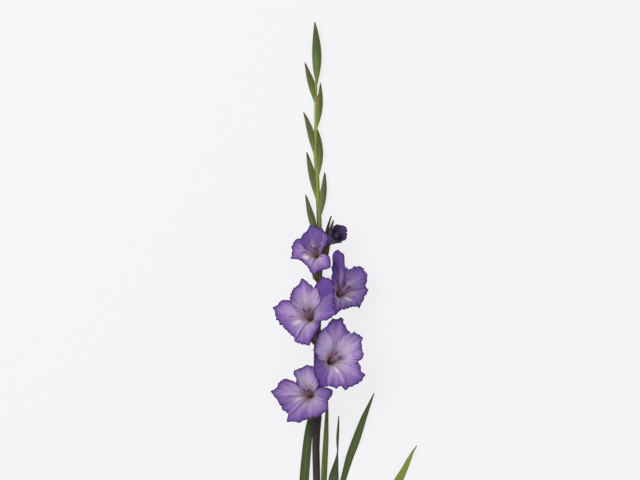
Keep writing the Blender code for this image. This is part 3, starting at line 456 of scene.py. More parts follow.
def bractMaterial(name, ribs, margin, tip, stops):
    # Green bract: satin and finely ribbed, its margin thin and pinkish, its tip dried to red-brown.
    made, add, place = startSkin(name, roughness=0.55, specular=0.2, glow=0.08, glowReach=(0.6, 1.0, 0.3))
    growth, along, _ = growthOf(add)
    look = bractSkinLook
    edge, dried = marksOf(add, "edgeMm", "dried")
    spots = add("TexNoise", {"Vector": place, "Scale": scaleOf(look["spots"]), "Detail": 3.0})
    rayPlace = add("Mapping", {"Vector": growth, "Scale": (2.0, float(ribs), 1.0)})
    rays = add("TexNoise", {"Vector": rayPlace, "Scale": 1.0, "Detail": 3.0})
    ripeness = add("Math", spots, look["spotted"], along, **timesPlus)
    colour = add("ValToRGB", ripeness, stops=stops)
    shade = add("MapRange", rays, *look["shade"])
    nearEdge = add("Math", edge, spots)
    rim = add("MapRange", nearEdge, *look["rim"], **soft)
    upper = add("MapRange", along, *look["upper"])
    for factor in (upper, dried):
        rim = add("Math", rim, factor, **times)
    drier = add("Math", dried, look["dryShift"], ripeness, **timesPlus)
    end = add("MapRange", drier, *look["dryEnd"], **soft)
    end = add("Math", end, dried, **times)
    return finishMaterial(made, add, colour, [(1.0, shade, "MULTIPLY"), (rim, margin), (end, tip)], rays)


budGreen = bractMaterial(
    "greenBractSkin", ribs=16, margin="#7c5a44", tip="#4e2818",
    stops=[(0.0, "#7a8a3a"), (0.3, "#607032"), (0.6, "#4b5a30"), (1.0, "#505a2e")],
)
budInner = bractMaterial(
    "innerBractSkin", ribs=12, margin="#9a7060", tip="#4e2818",
    stops=[(0.0, "#7c8c3c"), (0.35, "#7a8444"), (0.6, "#80794e"), (0.82, "#7e624c"), (1.0, "#583826")],
)
bractGreen = bractMaterial(
    "oldBractSkin", ribs=14, margin="#5a4430", tip="#2e1a18",
    stops=[(0.0, "#66582e"), (0.4, "#64522e"), (0.75, "#5a5c2a"), (1.0, "#66742e")],
)
leafSkinLook = dict(
    ribs=13, ribHeight=0.8, rays=(5.0, 21.0, 1.0), spots=22.222, spotted=0.16,
    rayShade=(1.1, 0.36), ribShade=0.18, midribColour="#8d9a58",
    midrib=(0.03, 0.12, 0.30, 0.0), rim=(0.3, 1.4, 0.8, 0.0), end=(1.03, 1.10, 0.0, 0.9),
)


def leafMaterial(name, stops, margin, tip):
    # Sword leaf: leathery with a satin skin, parallel ribs from end to end, a paler midrib and
    # often a reddish margin.
    made, add, place = startSkin(name, roughness=0.5, specular=0.22, glow=0.05, glowReach=(0.5, 1.0, 0.25))
    growth, along, across = growthOf(add)
    look = leafSkinLook
    edge, = marksOf(add, "edgeMm")
    spots = add("TexNoise", {"Vector": place, "Scale": scaleOf(look["spots"]), "Detail": 4.0})
    ribPlace = add("CombineXYZ", across)
    ribWave = add("TexWave", {"Vector": ribPlace, "Scale": look["ribs"] / math.pi}, out=1)
    rayPlace = add("Mapping", {"Vector": growth, "Scale": look["rays"]})
    rays = add("TexNoise", {"Vector": rayPlace, "Scale": 1.0, "Detail": 4.0})
    ripeness = add("Math", spots, look["spotted"], along, **timesPlus)
    colour = add("ValToRGB", ripeness, stops=stops)
    shade = add("Math", rays, *look["rayShade"], **timesPlus)
    shade = add("Math", ribWave, look["ribShade"], shade, **timesPlus)
    off = add("Math", across, 2.0, -1.0, **timesPlus)
    off = add("Math", off, operation="ABSOLUTE")
    coats = [(1.0, shade, "MULTIPLY")]
    coats += [
        (add("MapRange", value, *look[key], **soft), tint)
        for value, key, tint in (
            (off, "midrib", look["midribColour"]), (edge, "rim", margin), (ripeness, "end", tip),
        )
    ]
    height = add("Math", ribWave, look["ribHeight"], rays, **timesPlus)
    return finishMaterial(made, add, colour, coats, height, strength=0.6)


def softMaterial(name, low, high, roughness, grain):
    # Fine floral tissue, matt, with a little grain, in millimetres, so that it isn't one flat colour.
    made, add, place = startSkin(name, roughness, specular=0.3, glow=0.15, glowReach=(0.8, 0.6, 0.9))
    spots = add("TexNoise", {"Vector": place, "Scale": scaleOf(grain), "Detail": 3.0})
    colour = add("ValToRGB", spots, stops=[(0.32, low), (0.68, high)])
    return finishMaterial(made, add, colour, [], spots)


filamentSkin = softMaterial("filamentSkin", "#84607e", "#b094ac", 0.6, 2.0)
pollenSac = softMaterial("pollenSacSkin", "#37295a", "#645088", 0.75, 0.8)
stigmaSkin = softMaterial("stigmaSkin", "#8c6c96", "#b89cb6", 0.65, 1.0)
cutFace = softMaterial("cutStemPith", "#a9b57c", "#d9dfb6", 0.5, 1.2)
print("materials made")


# the main axis, as keys of its middle line and radius: x, y, radius

axisKeys = [
    (-2.0, -490, 5.7), (-1.4, -420, 5.6), (-1.0, -350, 5.5), (-0.8, -280, 5.4),
    (-0.8, -230, 5.2), (-0.6, -182, 5.1), (-1.6, -137, 5.2), (-1.0, -116, 5.6), (0.5, -95, 6.0),
    (0.2, -46, 5.0), (0.2, 0, 4.7), (0.9, 30, 4.6), (2.1, 55, 4.4), (3.2, 99, 4.1),
    (4.1, 123, 3.9), (3.2, 173, 3.5), (2.4, 197, 3.3), (0.8, 220, 3.2), (-0.4, 255, 3.0),
    (-2.6, 279, 2.7), (-1.4, 315, 2.3), (-2.0, 347, 2.0), (-1.0, 378, 1.7),
]
axisLook = dict(
    low=-490, high=378, flatTo=60, liftLength=120, topHeight=4.3, facets=12, rows=300, columns=36,
    ribs=11, ribHeight=0.10,
)


def axisAt(y):
    xs, ys, radii = zip(*axisKeys)
    x, radius = np.interp(y, ys, xs), np.interp(y, ys, radii)
    resting = radius * math.cos(math.pi / axisLook["facets"])
    lifted = smoothStep((y - axisLook["flatTo"]) / axisLook["liftLength"])
    return np.stack([x, y, resting + (axisLook["topHeight"] - resting) * lifted], axis=-1), radius


def axisPlace(u, v):
    turn = math.pi * v
    centre, radius = axisAt(axisLook["low"] + (axisLook["high"] - axisLook["low"]) * u)
    radius = radius + axisLook["ribHeight"] * np.cos(axisLook["ribs"] * turn)
    places = centre + radius[:, None] * aroundStem(turn)
    places[:, 2] = np.maximum(places[:, 2], 0.0)
    return places


axis = addPiece("mainAxis", "stem", [partOf(axisLook, axisPlace)], [stemSkin, cutFace])
for face in axis.data.polygons:
    if face.center.y < (axisLook["low"] + 0.1) * mm:
        face.material_index = 1
print("axis made")


# green buds up the axis, each an inner pod in a keeled outer bract: tip, middle, foot, half width,
# how far the inner pod leans and how dry the tip is

budList = [
    ((-3.4, 459), (-0.9, 420), (-0.8, 374), 6.3, 1.2, 0.0),
    ((-16.8, 402.5), (-9.2, 378), (-2.6, 347), 4.2, 2.0, 0.9),
    ((4.4, 374), (3.6, 345), (-0.4, 312), 4.0, 3.0, 1.0),
    ((-18.6, 333), (-9.6, 308), (-3.4, 274), 4.3, 1.8, 0.9),
    ((0.4, 308.5), (3.6, 281), (2.2, 246), 4.2, 1.2, 0.7),
    ((-14.2, 277), (-7.4, 249), (-1.0, 213), 4.4, 2.2, 1.0),
    ((10.6, 249), (8.6, 221), (3.6, 185), 4.4, 1.6, 1.0),
    ((-15.6, 217.5), (-8.6, 190), (-0.6, 155), 4.4, 1.6, 1.0),
]
budLook = dict(
    widths=[
        (0.0, 0.2), (0.12, 0.57), (0.26, 0.9), (0.42, 1.0), (0.58, 0.88), (0.74, 0.62), (0.88, 0.34),
        (0.97, 0.15), (1.0, 0.03),
    ],
    blur=0.04, depth=0.98, flatter=0.8, rise=1.2, foot=4.2, footLength=0.3, clear=0.02,
    innerShare=0.86, innerWidth=0.8, greenFrom=0.8, rows=56, columns=26, wrap=0.74, wrapEnd=0.2,
    keel=0.35, keelWidth=0.05, skin=0.35, thickness=0.4, edgeShare=0.4, edgeReach=1.5,
)


def podPlace(line, outward, half, lengthShare=1.0, lean=0.0):
    tip, middle, base = (np.array(point, float) for point in line)
    bend = 2 * middle - (base + tip) / 2
    look = budLook

    def placeAt(u, v):
        s, turn = (u * lengthShare)[:, None], math.pi * v
        flat = (1 - s) ** 2 * base + 2 * s * (1 - s) * bend + s**2 * tip
        share = tableAt(look["widths"], u, look["blur"])
        full = look["depth"] * half
        risen = smoothStep(u / look["footLength"])
        height = look["foot"] + (full + look["clear"] - look["foot"]) * risen + look["rise"] * u * u
        fromKeel = 1 - np.cos(turn - (0 if outward > 0 else math.pi))
        keel = 1 + look["keel"] / half * np.exp(-fromKeel / look["keelWidth"])
        return np.stack([
            flat[:, 0] + lean * np.sin(math.pi * u) + half * share * keel * np.cos(turn), flat[:, 1],
            height + full * share ** look["flatter"] * np.sin(turn),
        ], axis=1)
    return placeAt


def wrapPlace(pod, outward):
    # the outer bract lies on the pod and leaves a strip of it open on the side of the axis
    def placeAt(u, v):
        turn = v * budLook["wrap"] * (1 - budLook["wrapEnd"] * u) + (0 if outward > 0 else 1)
        onPod = pod(u, turn)
        middleLine = (pod(u, 0 * v) + pod(u, 0 * v + 1)) / 2
        return onPod + unit(onPod - middleLine) * budLook["skin"]
    return placeAt


podParts, wrapParts = [], []
for *line, half, lean, dried in budList:
    outward = -1 if line[1][0] < axisAt(line[1][1])[0][0] else 1
    pod = podPlace(line, outward, half)
    innerHalf = half * budLook["innerWidth"]
    inner = podPlace(line, outward, innerHalf, budLook["innerShare"], -lean * outward)
    slot = 0 if dried > budLook["greenFrom"] else 1
    podParts += [partOf(budLook, placeAt, slot, dried=dried) for placeAt in (pod, inner)]
    wrapParts.append(partOf(budLook, wrapPlace(pod, outward), dried=dried))
addPiece("greenBuds", "stem", podParts, [budInner, budGreen])
addPiece("greenBudBracts", "stem", wrapParts, [budGreen], budLook)
print("green buds made")


# leaves: a sheath round the stem (facing, span, top and foot), then the blade's middle line from
# its tip on, as x, y, z, width and turn about its own length

leafList = {
    "leaf_1": dict(
        blade=[
            (-6.6, -62, 1.6, 1.2, 0), (-7.6, -80, 1.6, 5, 0), (-9.4, -98, 1.9, 8.6, 4),
            (-13.0, -126, 2.6, 12, 8), (-18.0, -182, 3.0, 13.6, 12), (-20.2, -238, 3.4, 14, 14),
            (-19.0, -300, 4.2, 14, 24), (-14.0, -345, 5.4, 13, 50), (-9.6, -372, 6.0, 12, 70),
        ],
        sheath=(162, 58, -372, -420),
        stops=[(0.0, "#6f7a42"), (0.2, "#515e32"), (0.6, "#3f4e25"), (1.0, "#415025")],
        margin="#39461f", tip="#5a4526",
    ),
    "leaf_2": dict(
        blade=[
            (14.6, -66, 6.0, 1.2, 20), (14.0, -84, 6.0, 4.4, 22), (13.2, -104, 6.0, 6.4, 25),
            (12.4, -126, 6.0, 8.4, 28), (10.8, -155, 6.2, 9.8, 34), (9.6, -182, 6.4, 10.8, 42),
            (8.6, -210, 6.8, 11.4, 58), (7.9, -226, 7.2, 11.6, 66),
        ],
        sheath=(40, 72, -232, -262),
        stops=[(0.0, "#7c8444"), (0.3, "#6a7839"), (0.7, "#5d6e2d"), (1.0, "#4c5c26")],
        margin="#6a3d2c", tip="#4d4420",
    ),
    "leaf_3": dict(
        blade=[
            (30.4, -92, 13.0, 1.2, 10), (29.8, -106, 12.5, 3, 20), (29.0, -119, 12.0, 4.6, 36),
            (28.7, -131, 11.6, 6, 60), (28.8, -141, 11.2, 8, 78), (27.4, -154, 10.8, 10.6, 62),
            (25.1, -167, 10.4, 13, 41), (23.0, -182, 10.0, 14.6, 14), (20.6, -212, 9.8, 15, 12),
            (18.2, -240, 10.2, 15, 12), (13.4, -268, 11.4, 14, 8), (7.4, -290, 12.8, 12, 2),
        ],
        sheath=(90, 50, -296, -330),
        stops=[(0.0, "#667046"), (0.3, "#475430"), (0.7, "#3a4a28"), (0.9, "#4a5e28"), (1.0, "#566c2a")],
        margin="#2f3d20", tip="#6b6a2c",
    ),
    "leaf_4": dict(
        blade=[
            (80.0, -60, 9.0, 1.2, 10), (75.4, -71, 8.0, 3.4, 8), (70.0, -84, 7.2, 6, 8),
            (64.4, -98, 6.2, 8.6, 8), (54.6, -126, 4.8, 11.4, 10), (45.4, -151, 3.6, 11.2, 22),
            (36.6, -182, 3.0, 9.6, 34), (28.4, -212, 2.6, 9.6, 24), (21.0, -246, 2.4, 9.6, 14),
            (15.2, -284, 2.8, 10, 24), (11.2, -322, 4.0, 11, 50), (8.9, -342, 5.2, 11.4, 64),
        ],
        sheath=(4, 42, -350, -386),
        stops=[(0.0, "#6b7640"), (0.3, "#4d5c31"), (0.7, "#455729"), (1.0, "#50602c")],
        margin="#2c3a1a", tip="#6e5a3a",
    ),
    "leaf_5": dict(
        blade=[
            (139.8, -133.6, 6.0, 1.0, 6), (133.8, -143, 5.0, 3.2, 8), (128.4, -154, 4.0, 6.4, 10),
            (121.8, -168, 3.2, 9, 12), (114.4, -182, 2.6, 11.8, 12), (100.0, -210, 2.0, 13.8, 10),
            (78.0, -254, 1.7, 15.4, 8), (54.0, -304, 1.9, 16, 8), (33.0, -350, 2.6, 15.4, 14),
            (18.6, -388, 3.8, 14, 34), (11.4, -414, 4.8, 13, 58),
        ],
        sheath=(18, 56, -426, -474),
        stops=[(0.0, "#778248"), (0.3, "#5f7034"), (0.7, "#6e822e"), (0.95, "#8a972c"), (1.0, "#96902c")],
        margin="#5d5a20", tip="#8a4a2a",
    ),
}
leafLook = dict(
    rows=128, columns=26, sheathGap=0.55, thickness=0.9, edgeShare=0.4, edgeReach=3.0,
    leave=1.4, leaveShare=0.22, sheathShare=0.125, ribs=5, ribHeight=0.16, ribWidth=12,
)


def leafPlace(leaf):
    look = leafLook
    keys = leaf["blade"][::-1]
    facing, span, top, low = leaf["sheath"]
    away = aroundStem(math.radians(facing))

    def sheathAt(y, v):
        centre, radius = axisAt(y)
        reach = radius + look["sheathGap"] + look["thickness"] / 2
        return centre + reach[:, None] * aroundStem(np.radians(facing + span * v))

    def bladeAt(share, v):
        key = splineAt(keys, share)
        ahead = unit(splineAt(keys, share + near)[:, :3] - splineAt(keys, share - near)[:, :3])
        level = unit(np.stack([ahead[:, 1], -ahead[:, 0], 0 * share], axis=1))
        turn = np.radians(key[:, 4])[:, None]
        side = level * np.cos(turn) + np.cross(level, ahead) * np.sin(turn) * (1 if facing > 90 else -1)
        ribs = look["ribHeight"] * np.cos(look["ribs"] * math.pi * v) * (1 - v**4)
        ribs *= np.minimum(key[:, 3] / look["ribWidth"], 1)
        out = unit(np.cross(ahead, side))
        return key[:, :3] - side * (v * key[:, 3] / 2)[:, None] + out * ribs[:, None]

    def placeAt(u, v):
        part = look["sheathShare"]
        share = np.clip((u - part) / (1 - part), 0, 1)
        free = smoothStep(share / look["leaveShare"])[:, None]
        start = sheathAt(np.full_like(u, top), v)
        start[:, 1] = top + bladeAt(share, 0 * v)[:, 1] - keys[0][1]
        blade = start + (bladeAt(share, v) - start) * free + away * look["leave"] * np.sin(math.pi * free)
        sheath = sheathAt(low + (top - low) * u / part, v)
        return np.where((u <= part)[:, None], sheath, blade)
    return placeAt


for node, leaf in leafList.items():
    name = node.replace("_", "")
    skin = leafMaterial(name + "Skin", leaf["stops"], leaf["margin"], leaf["tip"])
    addPiece(name + "Blade", node, [partOf(leafLook, leafPlace(leaf))], [skin], leafLook)
print("leaves made")


# Blooms: six tepals in two layers on a curved tube. The lists for a bloom's tepals start with the
# upper outer one, then the outer ones at the lower right and left, the inner ones at the right and
# left, and the lip. A rim is the number of its tip's point and the points of its edge in the plan.
# A streak has its share, its start, its width and its place beside the middle.

bloomList = {
    "bloom_1": dict(
        place=(-1.4, 133.3, 27), face=140, tilt=25, base=101, side=118, size=0.80,
        # the hood, tepal 4, is made deeper as painted shade in its hollow
        hood=4, tonesAndShade=(1.0, 0.30, 0.18, 0.8, 1.0, 0.15), more=(0, 0, 0, -12, -10, 0),
        streak=(0.8, 0.2, 1.5, -0.3), stamens=(-38, 0.95), frill=0.9,
        rims=[
            (4, [(14.3, 157.9), (13.8, 160.8), (11.7, 164.6), (7.9, 169.1), (4.7, 171.9), (2, 171.9),
                (-0.1, 169.7), (-0.7, 160.6)]),
            (7, [(-8.7, 120.4), (-11.6, 114.5), (-10.2, 110.2), (-6.6, 107), (-3.1, 104.2), (0.4, 108.6),
                (4.7, 110.7), (10.6, 113.4), (17, 114.4), (18.4, 118), (19.1, 124.1), (17.8, 131.1),
                (15.4, 133.1), (10.1, 131.6), (5.2, 129.8)]),
            (9, [(-20.5, 148.8), (-22.6, 156.3), (-26.9, 156.4), (-30.1, 153.6), (-34.1, 149.4),
                (-32.4, 147.2), (-36.5, 144.9), (-34.9, 142.4), (-35.1, 137.5), (-36.2, 131.1),
                (-37.9, 128.3), (-30.1, 126.7), (-25.8, 126.3), (-20.5, 130.6)]),
            (5, [(4.7, 133.8), (7.9, 140.7), (12.2, 146.1), (14.9, 152), (16.4, 156.8), (14.3, 160.6),
                (10.6, 163.2), (6.6, 163.5), (6, 155.2), (5.2, 144.5)]),
            (6, [(4.2, 144.5), (6, 155.2), (5.5, 163.2), (3.6, 168.1), (-0.7, 172.4), (-5.5, 174.5),
                (-11.2, 174.4), (-12.4, 171.6), (-14.1, 166.2), (-19.9, 162.2), (-22.4, 156.6),
                (-22.1, 149.9), (-18.3, 141.3)]),
            (5, [(-16.2, 139.1), (-22.6, 136.5), (-26.4, 132.2), (-28.5, 128.4), (-25.6, 126.2),
                (-20.5, 123.1), (-14.1, 118.2), (-11.6, 114.5), (-6.6, 120.4), (-2.3, 125.7)]),
        ],
    ),
    "bloom_2": dict(
        place=(31.5, 78.4, 23), face=45, tilt=32, base=57, side=38, size=0.95,
        hood=3, tonesAndShade=(0.9, 0.5, 0.35, 0.8, 1.1, 0.3), more=(0, 0, 0, -4, -8, 0),
        streak=(1.0, 0.07, 1.1, 0.22), stamens=(14, 0.95), frill=1.8,
        raised={4: 1.5},
        rims=[
            (5, [(53.8, 108.5), (48.6, 114.6), (44.8, 113.5), (40.3, 114.8), (31.9, 116.2), (25.5, 112.4),
                (21.6, 107.2), (20.2, 102.1), (19.7, 100.2), (21.6, 93.7), (25.5, 86.7)]),
            (3, [(53.8, 65.4), (58.6, 58), (61.8, 64.2), (65.3, 71.2), (69.2, 78.9), (72.3, 84.1),
                (68.4, 89.2), (65.3, 91.8)]),
            (4, [(28.7, 88.6), (22.2, 84.1), (20.3, 77.7), (21, 68), (23.2, 62.9), (22.2, 55.2),
                (25.1, 48.3), (28, 51.2), (31.9, 55.8), (34.8, 56.6), (36.4, 64.8)]),
            (6, [(61.5, 84.1), (67.9, 90.5), (68.7, 93.7), (71.2, 98.2), (69.3, 103.4), (69.5, 107.9),
                (66.1, 113), (64, 116.4), (61.5, 117.7), (57, 117.4), (52.5, 117.5), (48.6, 115),
                (44.8, 113.5), (40.3, 115), (37, 107.2), (36.4, 95.7)]),
            (8, [(37, 89.2), (38.3, 99.5), (39.6, 108.5), (40.3, 115), (38.6, 120.7), (38, 127.2),
                (38.5, 133), (34.5, 136.8), (30.3, 140), (26.9, 137.6), (23.5, 136.8), (21.6, 132.3),
                (22.2, 122.7), (20.3, 115), (22.2, 107.2), (26.7, 99.5), (30.6, 90.5)]),
            (4, [(31.9, 68), (33.2, 56.4), (38.3, 57.1), (43.5, 59.3), (48.6, 60.3), (54.4, 60.3),
                (57.6, 59.7), (56.3, 66.1), (52.5, 75.7)]),
        ],
    ),
    "bloom_3": dict(
        place=(-9.3, 45.4, 35), face=133, tilt=20, base=15, side=138, size=1.0,
        hood=4, tonesAndShade=(1.15, 0.25, 0.0, 0.75, 0.12, 0.15), more=(0, 0, 0, 0, -8, 0),
        streak=(0.52, 0.12, 1.2, -0.14), stamens=(0, 1.0), frill=1.1,
        rims=[
            (6, [(22.2, 72.1), (23.6, 78.5), (24, 84.9), (23.6, 91.3), (21.5, 97.4), (20, 99.9),
                (16.5, 100.8), (13.6, 101.9), (7.9, 102.2), (4.5, 101.5), (3.7, 96), (-1, 92.8),
                (-3.5, 88.8), (-7.1, 80.6)]),
            (6, [(-29.3, 22.8), (-31.4, 17.1), (-32.1, 13.8), (-28.5, 10.5), (-24.3, 9.8), (-20, 9.1),
                (-15, 7.6), (-11.3, 5.9), (-9.3, 10.6), (-7.1, 14.9), (-2.8, 23.1), (0.7, 29.2),
                (3.6, 32.4), (2.9, 37.8)]),
            (7, [(-28.5, 63.5), (-37.8, 70.6), (-42.8, 70.4), (-48.5, 70.3), (-52.5, 67.8), (-55.3, 63.8),
                (-58.5, 61.5), (-62.7, 61), (-60, 57.4), (-58.5, 52.1), (-57.1, 46.3), (-58.2, 42.2),
                (-53.9, 42.8), (-52.5, 39.2), (-53, 35.3), (-48.5, 34.9), (-41.4, 40.6)]),
            (7, [(-1.4, 37.1), (4.3, 40.3), (8.2, 42.1), (14.3, 41.9), (17.5, 44.9), (22.2, 47.2),
                (25.5, 48.7), (28, 53.5), (24.7, 57.1), (22.9, 63.5), (23.6, 69.2), (23.6, 77.8),
                (17.9, 79.9), (10, 74.2), (4.3, 66.3)]),
            (9, [(0, 59.9), (4, 66.3), (4.3, 73.5), (2.9, 80.6), (0, 85.6), (-5, 88.5), (-10, 92.8),
                (-14.3, 96.3), (-16.8, 99.2), (-20.3, 101.2), (-22.5, 99.2), (-22.8, 96.7), (-25.7, 92.8),
                (-30.7, 87.8), (-35, 84.2), (-36, 79.9), (-38.2, 73.5), (-36.4, 67.8), (-32.8, 60.6),
                (-28.5, 54.2)]),
            (5, [(-37.1, 48.5), (-42.8, 45.6), (-46.4, 40.3), (-46.8, 33.5), (-45, 29.2), (-41.4, 27.1),
                (-37.8, 22.8), (-32.8, 19.1), (-31, 16.3), (-25.7, 21.3), (-19.3, 31.3)]),
        ],
    ),
    "bloom_4": dict(
        place=(19.0, -15.2, 33), face=40, tilt=22, base=-40, side=40, size=1.0,
        hood=3, tonesAndShade=(0.45, 0.25, 0.95, -0.1, -0.35, 0.1), more=(0, 0, 0, -8, 0, 0),
        streak=(0.8, 0.02, 0.9, 0.3), stamens=(0, 1.0), frill=0.9,
        rims=[
            (6, [(50.9, 18.1), (46.8, 23.5), (42.4, 29.8), (38.4, 36), (36.1, 41.1), (37.5, 44.6),
                (35.1, 46), (28.5, 44), (21.9, 44.3), (16.8, 39.7), (13.9, 34.9), (10.2, 31.2),
                (8.8, 23.9)]),
            (5, [(32.9, -47.1), (35.9, -51.9), (38.8, -56), (43.2, -52.2), (50.5, -49.3), (59.3, -44.2),
                (64.8, -41.4), (65.1, -37.6), (66.8, -33.2), (61.1, -29.9), (61.8, -25.9), (60, -20),
                (56.7, -14.9), (52, -12.7)]),
            (6, [(4.7, -3.9), (-0.8, -9), (-3.3, -14.2), (-5.1, -20), (-4.4, -29.5), (-1.5, -36.5),
                (2.2, -41.3), (3.8, -48.2), (5.8, -51.4), (9.9, -50.8), (13.9, -49.9), (17.5, -47.8),
                (21.6, -39.8)]),
            (6, [(46.8, -20.8), (57.8, -14.9), (64, -11.2), (65, -5.4), (62.8, 3.4), (61.8, 12.2),
                (64.6, 19.2), (59.3, 21.3), (54.9, 24.3), (52.3, 27.4), (50.1, 24.6), (46.8, 23.5),
                (35.9, 20.3), (28.5, 15.1)]),
            (7, [(23.4, 11.5), (17.5, 21.7), (12.4, 26.1), (9.9, 31.2), (4.7, 28.3), (0.3, 21), (-3.3, 10),
                (-3.3, 4.9), (-5.7, 1.1), (-3.3, -1.7), (-1.5, -5.4), (4.4, -12)]),
            (5, [(13.9, -37.6), (14.6, -46.4), (16.8, -49.3), (21.2, -50.4), (25.6, -51.9), (27.8, -52.8),
                (30.4, -49.3), (35.1, -49.9), (38.1, -47.8), (39.2, -41.3), (37.7, -33.9)]),
        ],
    ),
    "bloom_5": dict(
        place=(-9.6, -62.9, 24), face=160, tilt=15, base=-86, side=140, size=1.0,
        hood=4, tonesAndShade=(0.8, 0.5, 0.0, 0.35, -0.15, 0.4), more=(12, 0, 0, 4, 0, 0),
        streak=(0.5, 0.02, 1.3, -0.4), stamens=(0, 1.0), frill=0.7,
        rims=[
            (3, [(11, -72.6), (16.4, -69.3), (19.6, -64.1), (21.9, -57.4), (20.4, -54.1), (16.3, -52.3),
                (11, -51.4), (5.1, -50.8), (-0.2, -54.1)]),
            (4, [(-37.2, -82.6), (-40.5, -89.2), (-41.7, -95.8), (-42.4, -99.4), (-34.6, -99.1),
                (-28, -100.1), (-22.5, -100.9), (-20, -97.9), (-14.7, -96.4), (-10.8, -94.6), (-6.1, -92.5),
                (-2.8, -87.2)]),
            (12, [(-24, -50.8), (-30.3, -44.2), (-34.6, -42.3), (-37.2, -41.6), (-41.2, -39.6),
                (-45.1, -39.6), (-47.8, -40.9), (-51.1, -42.3), (-52.5, -44.2), (-55, -48.2),
                (-55.7, -51.6), (-59.7, -54.8), (-65.5, -56.8), (-61, -61.4), (-56.4, -68), (-53.1, -74),
                (-49.6, -78.6), (-42.5, -74.6)]),
            (5, [(-14.7, -87.2), (-10.8, -94.6), (-4.8, -92.6), (1.8, -92.6), (6.4, -89.3), (11, -85.9),
                (14.3, -83.9), (16.2, -79.9), (15.3, -74.6), (15.1, -70.7), (10.4, -66.7), (3.8, -64.1)]),
            (6, [(0.5, -53.5), (3.8, -46.9), (1.8, -38.9), (-1.5, -30.4), (-4.2, -23.1), (-8.1, -21),
                (-13.4, -20), (-16.1, -21.1), (-21.3, -23.8), (-26.6, -25.7), (-31.3, -27.6),
                (-33.4, -31.5), (-31.9, -34.3), (-29.1, -37.6), (-28.6, -41.6), (-29.3, -45.6),
                (-25.3, -52.2), (-21.3, -56.1)]),
            (5, [(-37.2, -62.7), (-45.8, -68), (-49.6, -74.6), (-49.9, -78.6), (-49, -82), (-46.5, -84.7),
                (-43.7, -85.1), (-40.4, -88.6), (-35.9, -88.5), (-29.3, -82.6), (-22.7, -75.9)]),
        ],
    ),
}
openingBud = dict(
    place=(20.5, 154, 24), face=42, tilt=38, base=123, side=54, size=1.0, frill=1.0,
    opening=15, lengths=(27, 24, 26, 31, 22, 22), span=44, shoulder=0.24, roundness=2.4, foot=36,
    rows=36, columns=36,
)
# folds, teeth and ruffles: how many round a bloom and how high, and how a fold winds outwards
bloomLook = dict(
    opens=(76, 92, 92, 84, 84, 90), layers=(0, 0, 0, 1, 1, 1),  # degrees at the tip, outer or inner
    evenly=(90, -30, 210, 30, 150, 270),  # where the half-open bud's tepals stand
    footShare=0.6, footMost=65, throatOpen=18, openCurve=1.25, bendSteps=24, floor=5.2, sunk=2.5,
    layerGap=0.95, layerRise=0.2, flares=(0.15, -0.2), crease=0.5, creaseWidth=0.14, rimBlur=0.015,
    folds=[(5, 0.9, 1.0), (8, 0.8, -1.5)],
    teeth=[(26, 0.022), (43, 0.014)],
    unevenTeeth=(7, 0.05), toothShape=(1.5, 0.35, 8),  # sharpness, middle, and how near the margin
    ruffles=[(19, 0.75), (33, 0.35)], ruffleSides=0.35,
    bareReach=0.1, bareFrom=0.3, hoodTones=(0.45, 0, 0, 0.45, 0.45, 0), innerStreak=0.08,
    thickness=0.6, edgeShare=0.45, edgeReach=4.0, rows=46, columns=74,
)
tepals = range(len(bloomLook["layers"]))
# the steps by which a rim is laid over its points
rimSearch = dict(rounds=40, step=0.01, eager=0.7, mostTurn=0.2, mostShare=0.1, start=0.7, reach=(0.1, 1.6))
# a tube: radii outside and, past its wall's share of the map, down inside its mouth
tubeLook = dict(
    radii=[(0.0, 2.9), (0.16, 3.0), (0.36, 2.4), (0.6, 2.7), (0.8, 3.7), (0.93, 5.6), (1.0, 6.7)],
    lean=0.35, leaves=15, arrives=14, rows=60, columns=24, blur=0.05,
    ribs=6, ribHeight=0.03, ribsFrom=(0.3, 0.4),
    wall=0.62, throat=0.42, mouth=[(0.0, 5.9), (0.1, 5.0), (0.3, 3.4), (0.6, 2.2), (1.0, 1.2)],
)


def bloomFrame(bloom):
    # the ways right, up and out of the bloom's face
    tilt, face = math.radians(bloom["tilt"]), math.radians(bloom["face"])
    facing = np.array([math.sin(tilt) * math.cos(face), math.sin(tilt) * math.sin(face), math.cos(tilt)])
    up = np.array([0.0, 1.0, 0.0])
    up = unit(up - facing * (up @ facing))
    return np.stack([np.cross(up, facing), up, facing], axis=1)


def opened(share, opening):
    # distance out and up along a tepal's middle line for a length of 1, and its angle there
    steps = (np.arange(bloomLook["bendSteps"]) + 0.5) / bloomLook["bendSteps"]
    throat, curve = bloomLook["throatOpen"], bloomLook["openCurve"]
    angles = np.radians(throat + (opening - throat)[:, None] * (share[:, None] * steps) ** curve)
    ends = np.radians(throat + (opening - throat) * share**curve)
    return share * np.sin(angles).mean(axis=1), share * np.cos(angles).mean(axis=1), ends


def aimed(bloom, turned, opening, tip):
    # direction and length of the tepal whose tip lies over this point of the plan
    out, up, _ = (float(part[0]) for part in opened(np.array([1.0]), np.array([float(opening)])))
    back, lift = np.linalg.inv(turned[:2, :2]), turned[:2, 2]
    a = back @ (np.array(tip) - np.array(bloom["place"][:2]) + lift * bloomLook["sunk"])
    b = back @ (lift * up)
    square = b @ b - out**2
    single = -2 * (a @ b + bloomLook["floor"] * out)
    rest = a @ a - bloomLook["floor"] ** 2
    root = math.sqrt(max(single**2 - 4 * square * rest, 0))
    length = min(r for r in ((-single + root) / (2 * square), (-single - root) / (2 * square)) if r > 0)
    toward = a - length * b
    return math.atan2(toward[1], toward[0]), length


def betweenTepals(angles, keys, values):
    order = np.argsort(keys)
    k, w = np.array(keys)[order], np.array(values, float)[order]
    k = np.concatenate([k - 2 * math.pi, k, k + 2 * math.pi])
    w = np.concatenate([w, w, w])
    i = np.clip(np.searchsorted(k, angles, side="right") - 1, 0, len(k) - 2)
    return w[i] + (w[i + 1] - w[i]) * smoothStep((angles - k[i]) / (k[i + 1] - k[i]))


